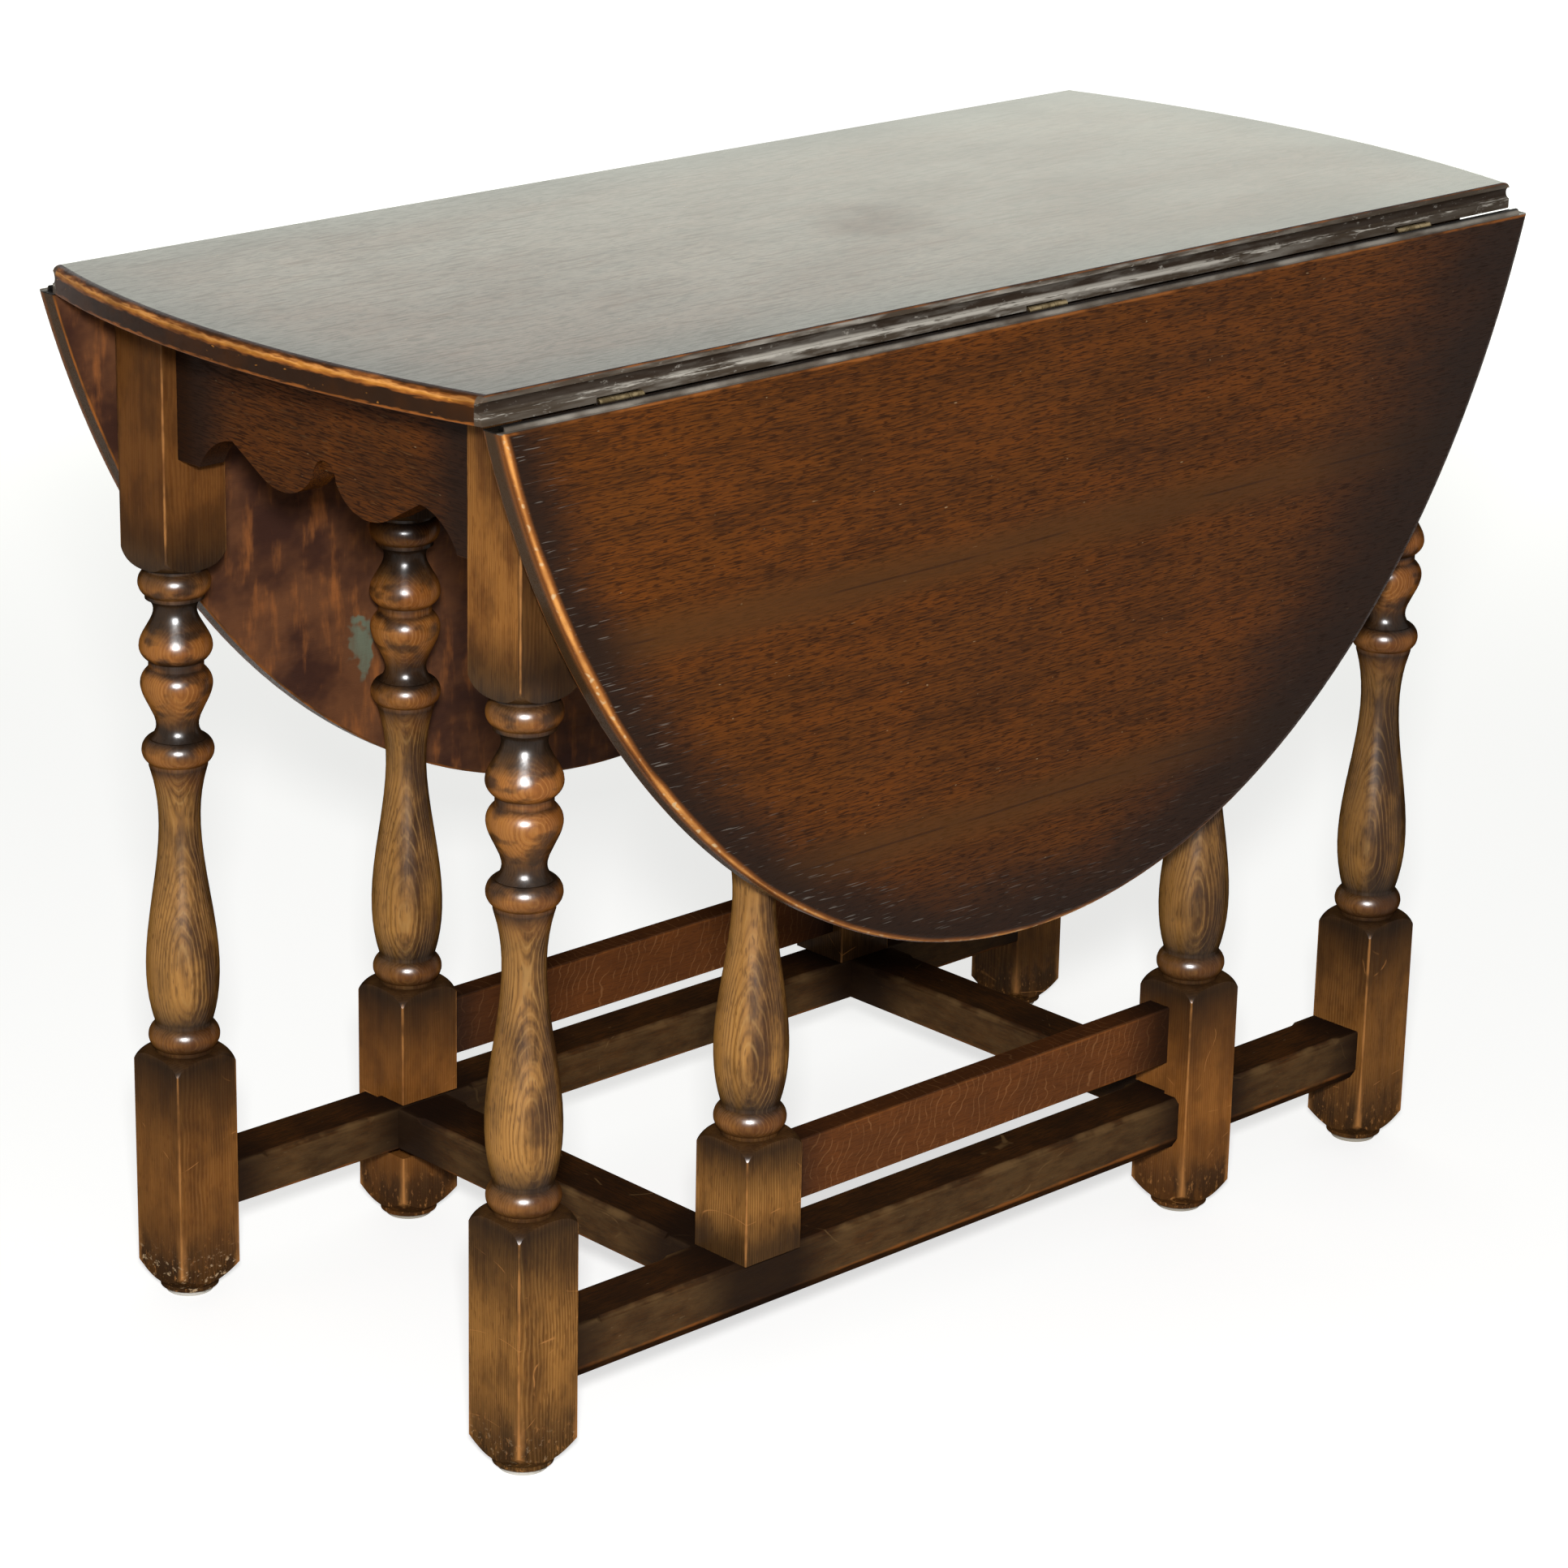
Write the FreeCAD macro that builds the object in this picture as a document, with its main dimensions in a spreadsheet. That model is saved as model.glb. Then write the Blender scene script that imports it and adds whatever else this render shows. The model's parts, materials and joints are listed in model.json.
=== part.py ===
import FreeCAD, Part
import math
import operator
import os
from types import SimpleNamespace

import Sketcher

# Oval gateleg table with two hanging leaves, in millimetres. X runs along the table, Y across it
# towards the far leaf, Z up from the floor. The table is the same after half a turn about Z, so
# every side piece is modelled on the near side (minus Y) and its twin is turned.

SIZES = {
    # top and leaves
    "table_height": 740,
    "top_thickness": 19,
    "oval_half_length": 514,
    "oval_half_width": 649,
    "top_half_width": 217.5,
    "edge_round": 6,
    "edge_arris": 1,
    "nose_round": 2,
    "groove_drop": 8,
    "groove_radius": 4,
    "tongue_clearance": 0.8,
    "leaf_gap": 0.8,
    # backflap hinges
    "hinge_inset": 139,
    "hinge_length": 36,
    "hinge_width": 28,
    "plate_thickness": 2,
    "plate_clearance": 0.2,
    "knuckle_radius": 3,
    "knuckle_clearance": 0.7,
    "knuckle_play": 0.3,
    "pin_radius": 1.4,
    "pin_drop": 0.3,
    "pin_clearance": 0.05,
    "hinge_screw_x": 10,
    "hinge_screw_y": 18,
    "screw_head_radius": 3.2,
    "countersink_land": 0.4,
    "screw_radius": 1.6,
    "screw_length": 12,
    # legs
    "leg_stock": 51,
    "end_overhang": 70,
    "leg_setback": 11,
    "leg_arris": 1.2,
    "glide_height": 4.5,
    "glide_radius": 16.5,
    "nail_radius": 1.5,
    "nail_length": 14,
    "foot_collar_radius": 20.5,
    "foot_collar_height": 3,
    "foot_slope_height": 14,
    "lower_block_top": 172,
    "lower_shoulder": 10,
    "upper_block": 172,
    "upper_shoulder": 17,
    "fillet_radius": 20.2,
    "fillet_height": 2.5,
    "bead_radius": 24.8,
    "bead_height": 17.5,
    "cove_radius": 14.8,
    "cove_drop": 6.5,
    "ball_radius": 24.2,
    "ball_rise": 15,
    "neck_radius": 18.9,
    "neck_height": 5,
    "upper_ball_height": 44,
    "lower_ball_height": 50,
    "vase_radius": 25.4,
    "vase_belly": 40,
    "vase_neck_radius": 14.9,
    "vase_neck_drop": 27,
    # rails, aprons and stretchers
    "rail_height": 85,
    "rail_thickness": 30,
    "rail_tenon_thickness": 12,
    "rail_tenon_height": 60,
    "apron_height": 108.5,
    "apron_thickness": 20,
    "apron_setback": 12,
    "apron_tenon_thickness": 10,
    "apron_tenon_height": 60,
    "notch_radius": 11.5,
    "notch_rise": 21,
    "lobe_y": 44,
    "lobe_rise": 2.5,
    "lobe_inner_radius": 36,
    "lobe_outer_radius": 45,
    "lobe_end_y": 64,
    "lobe_end_rise": 7.2,
    "tab_width": 23.5,
    "cove_width": 36,
    "cusp_rise": 25,
    "apron_cove_radius": 45,
    "stretcher_top": 97,
    "stretcher_height": 31,
    "stretcher_width": 45,
    "stretcher_setback": 6,
    "stretcher_drop": 8,
    "stretcher_bevel": 5,
    "stretcher_hollow": 28,
    "chamfer": 4,
    "chamfer_stop": 20,
    "chamfer_runout": 6,
    "stretcher_tenon_thickness": 14,
    "stretcher_tenon_height": 20,
    "cross_x": 227,
    "cross_tenon_length": 13,
    "tenon_length": 22,
    "tenon_spacing": 2,
    "mortise_clearance": 0.15,
    "mortise_gap": 1,
    "bar_arris": 1.5,
    # gates
    "gate_x": 219.5,
    "lap_cheek": 22,
    "lap_gap": 1.5,
    "swing_gap": 0.5,
    "peg_radius": 7,
    "peg_hold": 22,
    "peg_reach": 18,
    "pivot_clearance": 0.1,
    "gate_rail_height": 44,
    "gate_rail_thickness": 20,
    "gate_rail_setback": 21,
    "gate_lower_inset": 8,
    "gate_upper_inset": 11,
    "gate_tenon_thickness": 8,
    "gate_tenon_height": 32,
    "gate_tenon_length": 17,
    "gate_lift": 0.6,
    "gate_top_gap": 0.5,
    # pocket screws between the side rails and the top
    "pocket_angle": 18,
    "pocket_radius": 6,
    "pocket_seat": 22,
    "pocket_screw_radius": 2.1,
    "pocket_screw_head_radius": 4.2,
    "pocket_screw_head_height": 2.5,
    "pocket_screw_bite": 10,
}

UP = FreeCAD.Vector(0, 0, 1)
ALONG = FreeCAD.Vector(1, 0, 0)
FULL_TURN = 360
HALF_TURN = 180
QUARTER_TURN = 90
EIGHTH_TURN = 45
KNUCKLES = 3
# How closely an edge has to match a direction (as a cosine) or a height to be picked out.
ALIGNED = 0.999
LEVEL = 0.01
SIDES = (("near", 0), ("far", HALF_TURN))
ENDS = (("left", 0), ("right", HALF_TURN))

doc = FreeCAD.newDocument("gateleg_table")
sheet = doc.addObject("Spreadsheet::Sheet", "Sizes")
for row, (alias, number) in enumerate(SIZES.items(), start=1):
    sheet.set(f"A{row}", alias.replace("_", " "))
    sheet.set(f"B{row}", str(number))
    sheet.setAlias(f"B{row}", alias)
doc.recompute()


class Size:
    """A length that carries its sheet expression beside its present value."""

    def __init__(self, text, value):
        self.text = text
        self.value = value

    def __add__(self, other):
        return combined(self, "+", operator.add, other)

    def __sub__(self, other):
        return combined(self, "-", operator.sub, other)

    def __mul__(self, other):
        return combined(self, "*", operator.mul, other)

    def __truediv__(self, other):
        return combined(self, "/", operator.truediv, other)

    def __neg__(self):
        return Size(f"(-{self.text})", -self.value)


def as_size(item):
    return item if isinstance(item, Size) else Size(str(item), item)


def combined(left, sign, operation, right):
    left = as_size(left)
    right = as_size(right)
    return Size(f"({left.text} {sign} {right.text})", operation(left.value, right.value))


def root(size):
    return Size(f"sqrt({size.text})", math.sqrt(size.value))


def sine(angle):
    return Size(f"sin({angle.text} * 1 deg)", math.sin(math.radians(angle.value)))


def cosine(angle):
    return Size(f"cos({angle.text} * 1 deg)", math.cos(math.radians(angle.value)))


s = SimpleNamespace(**{alias: Size(f"Sizes.{alias}", sheet.get(alias)) for alias in SIZES})
ZERO = Size("0", 0)

# Places that several pieces share.
half_stock = s.leg_stock / 2
underside = s.table_height - s.top_thickness
leg_x = s.oval_half_length - s.end_overhang - half_stock
leg_y = s.top_half_width - s.leg_setback - half_stock
leg_inner_x = leg_x - half_stock
leg_inner_y = leg_y - half_stock
leg_outer_y = leg_y + half_stock
rail_bottom = underside - s.rail_height
rail_middle = underside - s.rail_height / 2
stretcher_y = leg_outer_y - s.stretcher_setback - s.stretcher_width / 2
stretcher_middle = s.stretcher_top - s.stretcher_height / 2
long_stretcher_height = s.stretcher_height + s.stretcher_drop
long_stretcher_bottom = s.stretcher_top - long_stretcher_height
long_stretcher_middle = s.stretcher_top - long_stretcher_height / 2
apron_x = s.apron_setback + s.apron_thickness / 2 - half_stock
gate_rail_y = leg_outer_y - s.gate_rail_setback - s.gate_rail_thickness / 2
gate_lower_middle = s.lower_block_top - s.gate_lower_inset - s.gate_rail_height / 2
gate_upper_middle = underside - s.upper_block + s.gate_upper_inset + s.gate_rail_height / 2
pin_y = -(s.top_half_width + s.leaf_gap / 2)
pin_z = underside - s.pin_drop
hinge_edge_half = s.oval_half_length * root(
    ZERO + 1 - (s.top_half_width / s.oval_half_width) * (s.top_half_width / s.oval_half_width)
)
board_length = s.oval_half_length * 2 + s.leg_stock
hinge_x = s.oval_half_length - s.hinge_inset
hinge_places = (-hinge_x, ZERO, hinge_x)
hinge_screw_places = (-s.hinge_screw_x, s.hinge_screw_x)
pocket_x = (s.gate_x + leg_x) / 2
pocket_places = (-pocket_x, ZERO, pocket_x)

# Tenons by thickness, height and length. The rail's stops short of the apron's in the same leg.
rail_tenon_length = half_stock - apron_x - s.apron_tenon_thickness / 2 - s.tenon_spacing
rail_tenon = (s.rail_tenon_thickness, s.rail_tenon_height, rail_tenon_length)
apron_tenon = (s.apron_tenon_thickness, s.apron_tenon_height, s.tenon_length)
stretcher_tenon = (s.stretcher_tenon_thickness, s.stretcher_tenon_height, s.tenon_length)
cross_tenon = (s.stretcher_tenon_thickness, s.stretcher_tenon_height, s.cross_tenon_length)
gate_tenon = (s.gate_tenon_thickness, s.gate_tenon_height, s.gate_tenon_length)


def bind(item, name, size):
    item.setExpression(name, as_size(size).text)


def place(item, x=0, y=0, z=0, turn=0):
    """Stand a piece at its near-side place, or at the twin place half a turn away."""
    sign = -1 if turn == HALF_TURN else 1
    item.Placement = FreeCAD.Placement(FreeCAD.Vector(), FreeCAD.Rotation(UP, turn))
    bind(item, "Placement.Base.x", as_size(x) * sign)
    bind(item, "Placement.Base.y", as_size(y) * sign)
    bind(item, "Placement.Base.z", z)
    return item


def box(name, x_span, y_span, z_span):
    item = doc.addObject("Part::Box", name)
    for side, axis, (start, end) in zip(("Length", "Width", "Height"), "xyz", (x_span, y_span, z_span)):
        bind(item, side, as_size(end) - start)
        bind(item, f"Placement.Base.{axis}", start)
    return item


def middle_span(middle, width):
    return as_size(middle) - as_size(width) / 2, as_size(middle) + as_size(width) / 2


def handed_span(hand, start, end):
    return (start, end) if hand > 0 else (-end, -start)


def shifted(span, amount):
    start, end = span
    return start + amount, end + amount


def cylinder(name, radius, x, y, z_span, axis=UP):
    """A round bar along Z, or along X with its span given along X and its centre as (y, z)."""
    item = doc.addObject("Part::Cylinder", name)
    start, end = z_span
    bind(item, "Radius", radius)
    bind(item, "Height", as_size(end) - start)
    if axis is UP:
        corner = (x, y, start)
    else:
        item.Placement = FreeCAD.Placement(FreeCAD.Vector(), FreeCAD.Rotation(UP, ALONG))
        corner = (start, x, y)
    for letter, size in zip("xyz", corner):
        bind(item, f"Placement.Base.{letter}", size)
    return item


def cone(name, radius_low, radius_high, x, y, z_span):
    item = doc.addObject("Part::Cone", name)
    start, end = z_span
    bind(item, "Radius1", radius_low)
    bind(item, "Radius2", radius_high)
    bind(item, "Height", as_size(end) - start)
    for letter, size in zip("xyz", (x, y, start)):
        bind(item, f"Placement.Base.{letter}", size)
    return item


def fuse(name, items):
    item = doc.addObject("Part::MultiFuse", name)
    item.Shapes = items
    return item


def common(name, base, tool):
    item = doc.addObject("Part::Common", name)
    item.Base = base
    item.Tool = tool
    return item


def cut(name, base, tools):
    item = doc.addObject("Part::Cut", name)
    item.Base = base
    item.Tool = tools[0] if len(tools) == 1 else fuse(name + "_tools", tools)
    return item


def group(name, items):
    item = doc.addObject("Part::Compound", name)
    item.Links = items
    return item


# Sketches: closed outlines whose corners and radii follow the sheet.


def new_sketch(body, name, plane):
    sketch = body.newObject("Sketcher::SketchObject", name)
    support = [item for item in body.Origin.OriginFeatures if item.Role == plane]
    sketch.AttachmentSupport = [(support[0], "")]
    sketch.MapMode = "FlatFace"
    return sketch


def add_dimension(sketch, kind, *targets, size):
    number = sketch.addConstraint(Sketcher.Constraint(kind, *targets, size.value))
    sketch.setExpression(f"Constraints[{number}]", size.text)


def pin_point(sketch, edge, end, corner):
    """Hold one end of an edge at its distances from the sketch's origin."""
    for kind, axis, size in zip(("DistanceX", "DistanceY"), (-2, -1), corner):
        if size is ZERO:
            sketch.addConstraint(Sketcher.Constraint("PointOnObject", edge, end, axis))
        else:
            add_dimension(sketch, kind, -1, 1, edge, end, size=size)


def bulge_point(start, end, radius, side):
    """The middle of an arc that bulges to the left (side 1) or right (side -1) of its chord."""
    chord = end - start
    left = FreeCAD.Vector(-chord.y, chord.x, 0).normalize()
    rise = radius - math.sqrt(radius**2 - (chord.Length / 2) ** 2)
    return (start + end) / 2 + left * (rise * side)


def outline(sketch, corners, bends=None):
    """Draw a closed outline; bends gives the radius and bulge side of the edges that are arcs.

    A sketch's arcs run counter-clockwise, so one that bulges to the left is drawn from its end.
    """
    bends = bends or {}
    points = [FreeCAD.Vector(x.value, y.value, 0) for x, y in corners]
    first = sketch.GeometryCount
    starts = []
    for index, start in enumerate(points):
        end = points[(index + 1) % len(points)]
        if index in bends:
            radius, side = bends[index]
            middle = bulge_point(start, end, radius.value, side)
            edge = Part.Arc(start, middle, end) if side < 0 else Part.Arc(end, middle, start)
            starts.append(1 if side < 0 else 2)
        else:
            edge = Part.LineSegment(start, end)
            starts.append(1)
        sketch.addGeometry(edge)
    for index, corner in enumerate(corners):
        following = (index + 1) % len(corners)
        ends = (first + index, 3 - starts[index], first + following, starts[following])
        sketch.addConstraint(Sketcher.Constraint("Coincident", *ends))
        pin_point(sketch, first + index, starts[index], corner)
    for index, (radius, _) in bends.items():
        add_dimension(sketch, "Radius", first + index, size=radius)


def squared(x_span, y_span):
    (left, right), (low, high) = x_span, y_span
    return [(left, low), (right, low), (right, high), (left, high)]


def rectangle(sketch, x_span, y_span):
    outline(sketch, squared(x_span, y_span))


def pad(body, sketch, length, symmetric=False):
    feature = body.newObject("PartDesign::Pad", sketch.Name + "_pad")
    feature.Profile = sketch
    feature.SideType = "Symmetric" if symmetric else "One side"
    bind(feature, "Length", length)
    doc.recompute()
    return feature


def pocket(body, sketch, length, symmetric=False):
    before = body.Shape.Volume
    feature = body.newObject("PartDesign::Pocket", sketch.Name + "_pocket")
    feature.Profile = sketch
    feature.SideType = "Symmetric" if symmetric else "One side"
    feature.Reversed = not symmetric
    bind(feature, "Length", length)
    doc.recompute()
    if body.Shape.Volume >= before:
        raise RuntimeError(f"{feature.Name} removes nothing")
    return feature


def round_edges(body, name, radius, chosen):
    """Round the edges of a body's last feature that the test picks out."""
    base = body.Tip
    names = [f"Edge{i}" for i, edge in enumerate(base.Shape.Edges, start=1) if chosen(edge)]
    feature = body.newObject("PartDesign::Fillet", name)
    feature.Base = (base, names)
    bind(feature, "Radius", radius)
    doc.recompute()
    return feature


def runs_along(edge, direction):
    return isinstance(edge.Curve, Part.Line) and abs(edge.Curve.Direction.dot(direction)) > ALIGNED


def eased_bar(name, length, corners):
    """A bar along X, centred on the origin, with the given section and its long arrises eased."""
    body = doc.addObject("PartDesign::Body", name)
    section = new_sketch(body, name + "_section", "YZ_Plane")
    outline(section, corners)
    pad(body, section, length, symmetric=True)
    round_edges(body, name + "_arrises", s.bar_arris, lambda edge: runs_along(edge, ALONG))
    return body


def tenoned_bar(name, length, corners, tenon):
    """A bar with one tenon of the given thickness, height and length on each end."""
    thickness, tall, long = tenon
    bar = eased_bar(name + "_bar", length, corners)
    along = middle_span(0, length + long * 2)
    tenons = box(name + "_tenons", along, middle_span(0, thickness), middle_span(0, tall))
    return fuse(name, [bar, tenons])


# Turned legs: square stock, and the round form that the lathe leaves between the blocks.


def turned_form():
    """The form of revolution that a leg's stock is turned to, from its foot to its top."""
    size = {alias: getattr(s, alias).value for alias in SIZES}
    diagonal = size["leg_stock"] / math.sqrt(2)
    reach = size["leg_stock"]
    top = underside.value
    edges = []
    last = FreeCAD.Vector(0, 0, size["glide_height"])

    def point(radius, height):
        return FreeCAD.Vector(radius, 0, height)

    def line_to(radius, height):
        nonlocal last
        if last.distanceToPoint(point(radius, height)) > 0:
            edges.append(Part.LineSegment(last, point(radius, height)).toShape())
        last = point(radius, height)

    def arc_to(middle, end):
        nonlocal last
        edges.append(Part.Arc(last, point(*middle), point(*end)).toShape())
        last = point(*end)

    def curve_to(*stations):
        nonlocal last
        curve = Part.BSplineCurve()
        curve.interpolate([last] + [point(*station) for station in stations])
        edges.append(curve.toShape())
        last = point(*stations[-1])

    def shoulder_to(start, end):
        """A convex quarter round between a block's corner and a fillet."""
        share = math.sin(math.radians(EIGHTH_TURN))
        (radius_low, low), (radius_high, high) = start, end
        wide, narrow = max(radius_low, radius_high), min(radius_low, radius_high)
        block = low if radius_low > radius_high else high
        turned = high if radius_low > radius_high else low
        middle = (narrow + (wide - narrow) * share, block + (turned - block) * share)
        arc_to(middle, end)

    def fillet(height):
        line_to(size["fillet_radius"], last.z)
        line_to(size["fillet_radius"], last.z + height)

    def bead():
        low = last.z
        high = low + size["bead_height"]
        arc_to((size["bead_radius"], (low + high) / 2), (size["fillet_radius"], high))

    collar_top = size["glide_height"] + size["foot_collar_height"]
    line_to(size["foot_collar_radius"], last.z)
    line_to(size["foot_collar_radius"], collar_top)
    line_to(diagonal, collar_top + size["foot_slope_height"])
    line_to(reach, last.z)
    line_to(reach, size["lower_block_top"])
    line_to(diagonal, last.z)
    shoulder_to((diagonal, last.z), (size["fillet_radius"], last.z + size["lower_shoulder"]))
    fillet(size["fillet_height"])
    bead()
    fillet(size["fillet_height"])

    block_low = top - size["upper_block"]
    shoulder_low = block_low - size["upper_shoulder"]
    cove_top = shoulder_low - size["bead_height"] - 2 * size["fillet_height"]
    neck_top = cove_top - size["upper_ball_height"]
    neck_low = neck_top - size["neck_height"]
    ball_low = neck_low - size["lower_ball_height"]
    vase_top = ball_low - size["bead_height"] - size["fillet_height"]

    vase_low = last.z
    curve_to(
        (size["vase_radius"], vase_low + size["vase_belly"]),
        (size["vase_neck_radius"], vase_top - size["vase_neck_drop"]),
        (size["fillet_radius"], vase_top),
    )
    fillet(size["fillet_height"])
    bead()
    line_to(size["neck_radius"], last.z)
    curve_to(
        (size["cove_radius"], ball_low + size["cove_drop"]),
        (size["ball_radius"], neck_low - size["ball_rise"]),
        (size["neck_radius"], neck_low),
    )
    line_to(size["neck_radius"], neck_top)
    curve_to(
        (size["ball_radius"], neck_top + size["ball_rise"]),
        (size["cove_radius"], cove_top - size["cove_drop"]),
        (size["neck_radius"], cove_top),
    )
    fillet(size["fillet_height"])
    bead()
    fillet(size["fillet_height"])
    shoulder_to((size["fillet_radius"], last.z), (diagonal, block_low))
    line_to(reach, last.z)
    line_to(reach, top)
    line_to(0, top)
    line_to(0, size["glide_height"])
    item = doc.addObject("Part::Feature", "turned_form")
    item.Shape = Part.Face(Part.Wire(edges)).revolve(FreeCAD.Vector(), UP, FULL_TURN)
    return item


def leg_stock(name, low, high):
    """Square stock standing on end at the origin, arrises eased."""
    body = doc.addObject("PartDesign::Body", name)
    section = new_sketch(body, name + "_section", "XY_Plane")
    rectangle(section, middle_span(0, s.leg_stock), middle_span(0, s.leg_stock))
    pad(body, section, high - low)
    round_edges(body, name + "_arrises", s.leg_arris, lambda edge: runs_along(edge, UP))
    bind(body, "Placement.Base.z", low)
    return body


def mortise(name, hand, axis, across, middle, tenon):
    """A mortise in a leg's inner face, for a tenon that comes in along the axis at the middle height."""
    thickness, tall, long = tenon
    deep = handed_span(hand, half_stock - long - s.mortise_gap, half_stock)
    wide = middle_span(across, thickness + s.mortise_clearance * 2)
    upright = middle_span(middle, tall + s.mortise_clearance * 2)
    return box(name, deep, wide, upright) if axis == "x" else box(name, wide, deep, upright)


def nail_hole(name):
    return cylinder(name, s.nail_radius, 0, 0, (s.glide_height, s.glide_height + s.nail_length))


def corner_leg(name, blank, hand, turn):
    """A corner leg: hand is 1 where the apron lies towards plus Y in the leg's own frame."""
    across = (leg_y - stretcher_y) * hand
    apron_middle = underside - s.apron_height / 2
    mortises = [
        mortise(name + "_rail_mortise", 1, "x", 0, rail_middle, rail_tenon),
        mortise(name + "_apron_mortise", hand, "y", apron_x, apron_middle, apron_tenon),
        mortise(name + "_stretcher_mortise", 1, "x", across, long_stretcher_middle, stretcher_tenon),
        nail_hole(name + "_nail_hole"),
    ]
    return place(cut(name, blank, mortises), -leg_x, leg_y * -hand, 0, turn)


def corner_legs(blank):
    return [
        corner_leg("near_left_leg", blank, 1, 0),
        corner_leg("far_right_leg", blank, 1, HALF_TURN),
        corner_leg("far_left_leg", blank, -1, 0),
        corner_leg("near_right_leg", blank, -1, HALF_TURN),
    ]


def glide(name, x, y, low):
    """A nail-on glide: a flat disc under the foot with its nail driven into the leg."""
    disc = cylinder(name + "_disc", s.glide_radius, x, y, (low, s.glide_height))
    nail = cylinder(name + "_nail", s.nail_radius, x, y, (low, s.glide_height + s.nail_length))
    return fuse(name, [disc, nail])


def leg_glides():
    corners = [(x, y) for x in (-leg_x, leg_x) for y in (-leg_y, leg_y)]
    glides = [glide(f"leg_glide_{index}", x, y, ZERO) for index, (x, y) in enumerate(corners)]
    return group("leg_glides", glides)


# Rails, aprons and stretchers.


def apron(name, turn):
    """An end apron with a round notch between two lobes, a cusp and a cove at each end."""
    body = doc.addObject("PartDesign::Body", name)
    cove_end_y = leg_inner_y - s.tab_width
    half = [
        (s.notch_radius, s.notch_rise),
        (s.lobe_y, s.lobe_rise),
        (s.lobe_end_y, s.lobe_end_rise),
        (cove_end_y - s.cove_width, s.cusp_rise),
        (cove_end_y, ZERO),
        (leg_inner_y, ZERO),
        (leg_inner_y, s.apron_height),
    ]
    apex = (ZERO, s.notch_rise + s.notch_radius)
    corners = [apex] + half + [(-y, z) for y, z in reversed(half)]
    right = {
        0: (s.notch_radius, 1),
        1: (s.lobe_inner_radius, -1),
        2: (s.lobe_outer_radius, -1),
        4: (s.apron_cove_radius, 1),
    }
    left = {len(corners) - 1 - index: bend for index, bend in right.items()}
    face = new_sketch(body, name + "_face", "YZ_Plane")
    outline(face, corners, {**right, **left})
    pad(body, face, s.apron_thickness)
    tenon = new_sketch(body, name + "_tenon", "YZ_Plane")
    bind(tenon, "AttachmentOffset.Base.z", (s.apron_thickness - s.apron_tenon_thickness) / 2)
    rectangle(
        tenon,
        middle_span(0, (leg_inner_y + s.tenon_length) * 2),
        middle_span(s.apron_height / 2, s.apron_tenon_height),
    )
    pad(body, tenon, s.apron_tenon_thickness)
    return place(body, s.apron_setback - leg_x - half_stock, 0, underside - s.apron_height, turn)


def lap_notch(name, bearer_y, bearer_width, z_span):
    """The notch in a rail or stretcher that the cheek of the gate leg lies in."""
    outer = -(bearer_y + bearer_width / 2)
    inner = s.lap_cheek + s.lap_gap - leg_outer_y
    return box(name, middle_span(s.gate_x, s.leg_stock + s.lap_gap * 2), (outer, inner), z_span)


def pivot_bore(name, z_span):
    return cylinder(name, s.peg_radius + s.pivot_clearance, -s.gate_x, -leg_y, z_span)


def pocket_tool(name, x, radius, span):
    """A round tool on the slanted axis of a pocket screw, its span measured up from the screw's seat."""
    low, high = span
    item = doc.addObject("Part::Cylinder", name)
    item.Placement = FreeCAD.Placement(FreeCAD.Vector(), FreeCAD.Rotation(ALONG, SIZES["pocket_angle"]))
    bind(item, "Placement.Rotation.Angle", s.pocket_angle)
    bind(item, "Radius", radius)
    bind(item, "Height", high - low)
    drop = s.pocket_seat - low
    bind(item, "Placement.Base.x", x)
    bind(item, "Placement.Base.y", drop * sine(s.pocket_angle) - leg_y)
    bind(item, "Placement.Base.z", underside - drop * cosine(s.pocket_angle))
    return item


def side_rail(name, turn):
    """A rail under the top: notched for the gate leg, bored for the peg, pocketed for screws."""
    section = squared(middle_span(0, s.rail_thickness), middle_span(0, s.rail_height))
    bar = tenoned_bar(name + "_tenoned", leg_inner_x * 2, section, rail_tenon)
    place(bar, 0, -leg_y, rail_middle)
    tools = [
        lap_notch(name + "_lap", leg_y, s.rail_thickness, (rail_bottom, underside)),
        pivot_bore(name + "_bore", (rail_bottom, rail_bottom + s.peg_reach + s.mortise_gap)),
    ]
    shank_span = (-s.pocket_screw_radius, s.pocket_seat * 2)
    for index, x in enumerate(pocket_places):
        tools.append(pocket_tool(f"{name}_pocket_{index}", x, s.pocket_radius, (-s.rail_height, ZERO)))
        tools.append(pocket_tool(f"{name}_screw_hole_{index}", x, s.pocket_screw_radius, shank_span))
    return place(cut(name, bar, tools), turn=turn)


def stopped_chamfer(name, span, hand, y, z):
    """A tool for the chamfer on an upper arris that lies at y and z, outwards of the bar by hand.

    The chamfer runs out to nothing short of both ends of the span.
    """
    start, end = span
    body = doc.addObject("PartDesign::Body", name)
    depth = s.chamfer / root(as_size(2))
    deep = s.chamfer_stop + s.chamfer_runout
    flared = s.chamfer_stop - s.chamfer_runout
    side = new_sketch(body, name + "_side", "XZ_Plane")
    deep_start, deep_end = start + deep, end - deep
    flared_start, flared_end = start + flared, end - flared
    outline(side, [(deep_start, -depth), (deep_end, -depth), (flared_end, depth), (flared_start, depth)])
    pad(body, side, s.chamfer * 4, symmetric=True)
    body.Placement = FreeCAD.Placement(FreeCAD.Vector(), FreeCAD.Rotation(ALONG, -EIGHTH_TURN * hand))
    bind(body, "Placement.Base.y", y)
    bind(body, "Placement.Base.z", z)
    return body


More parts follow.
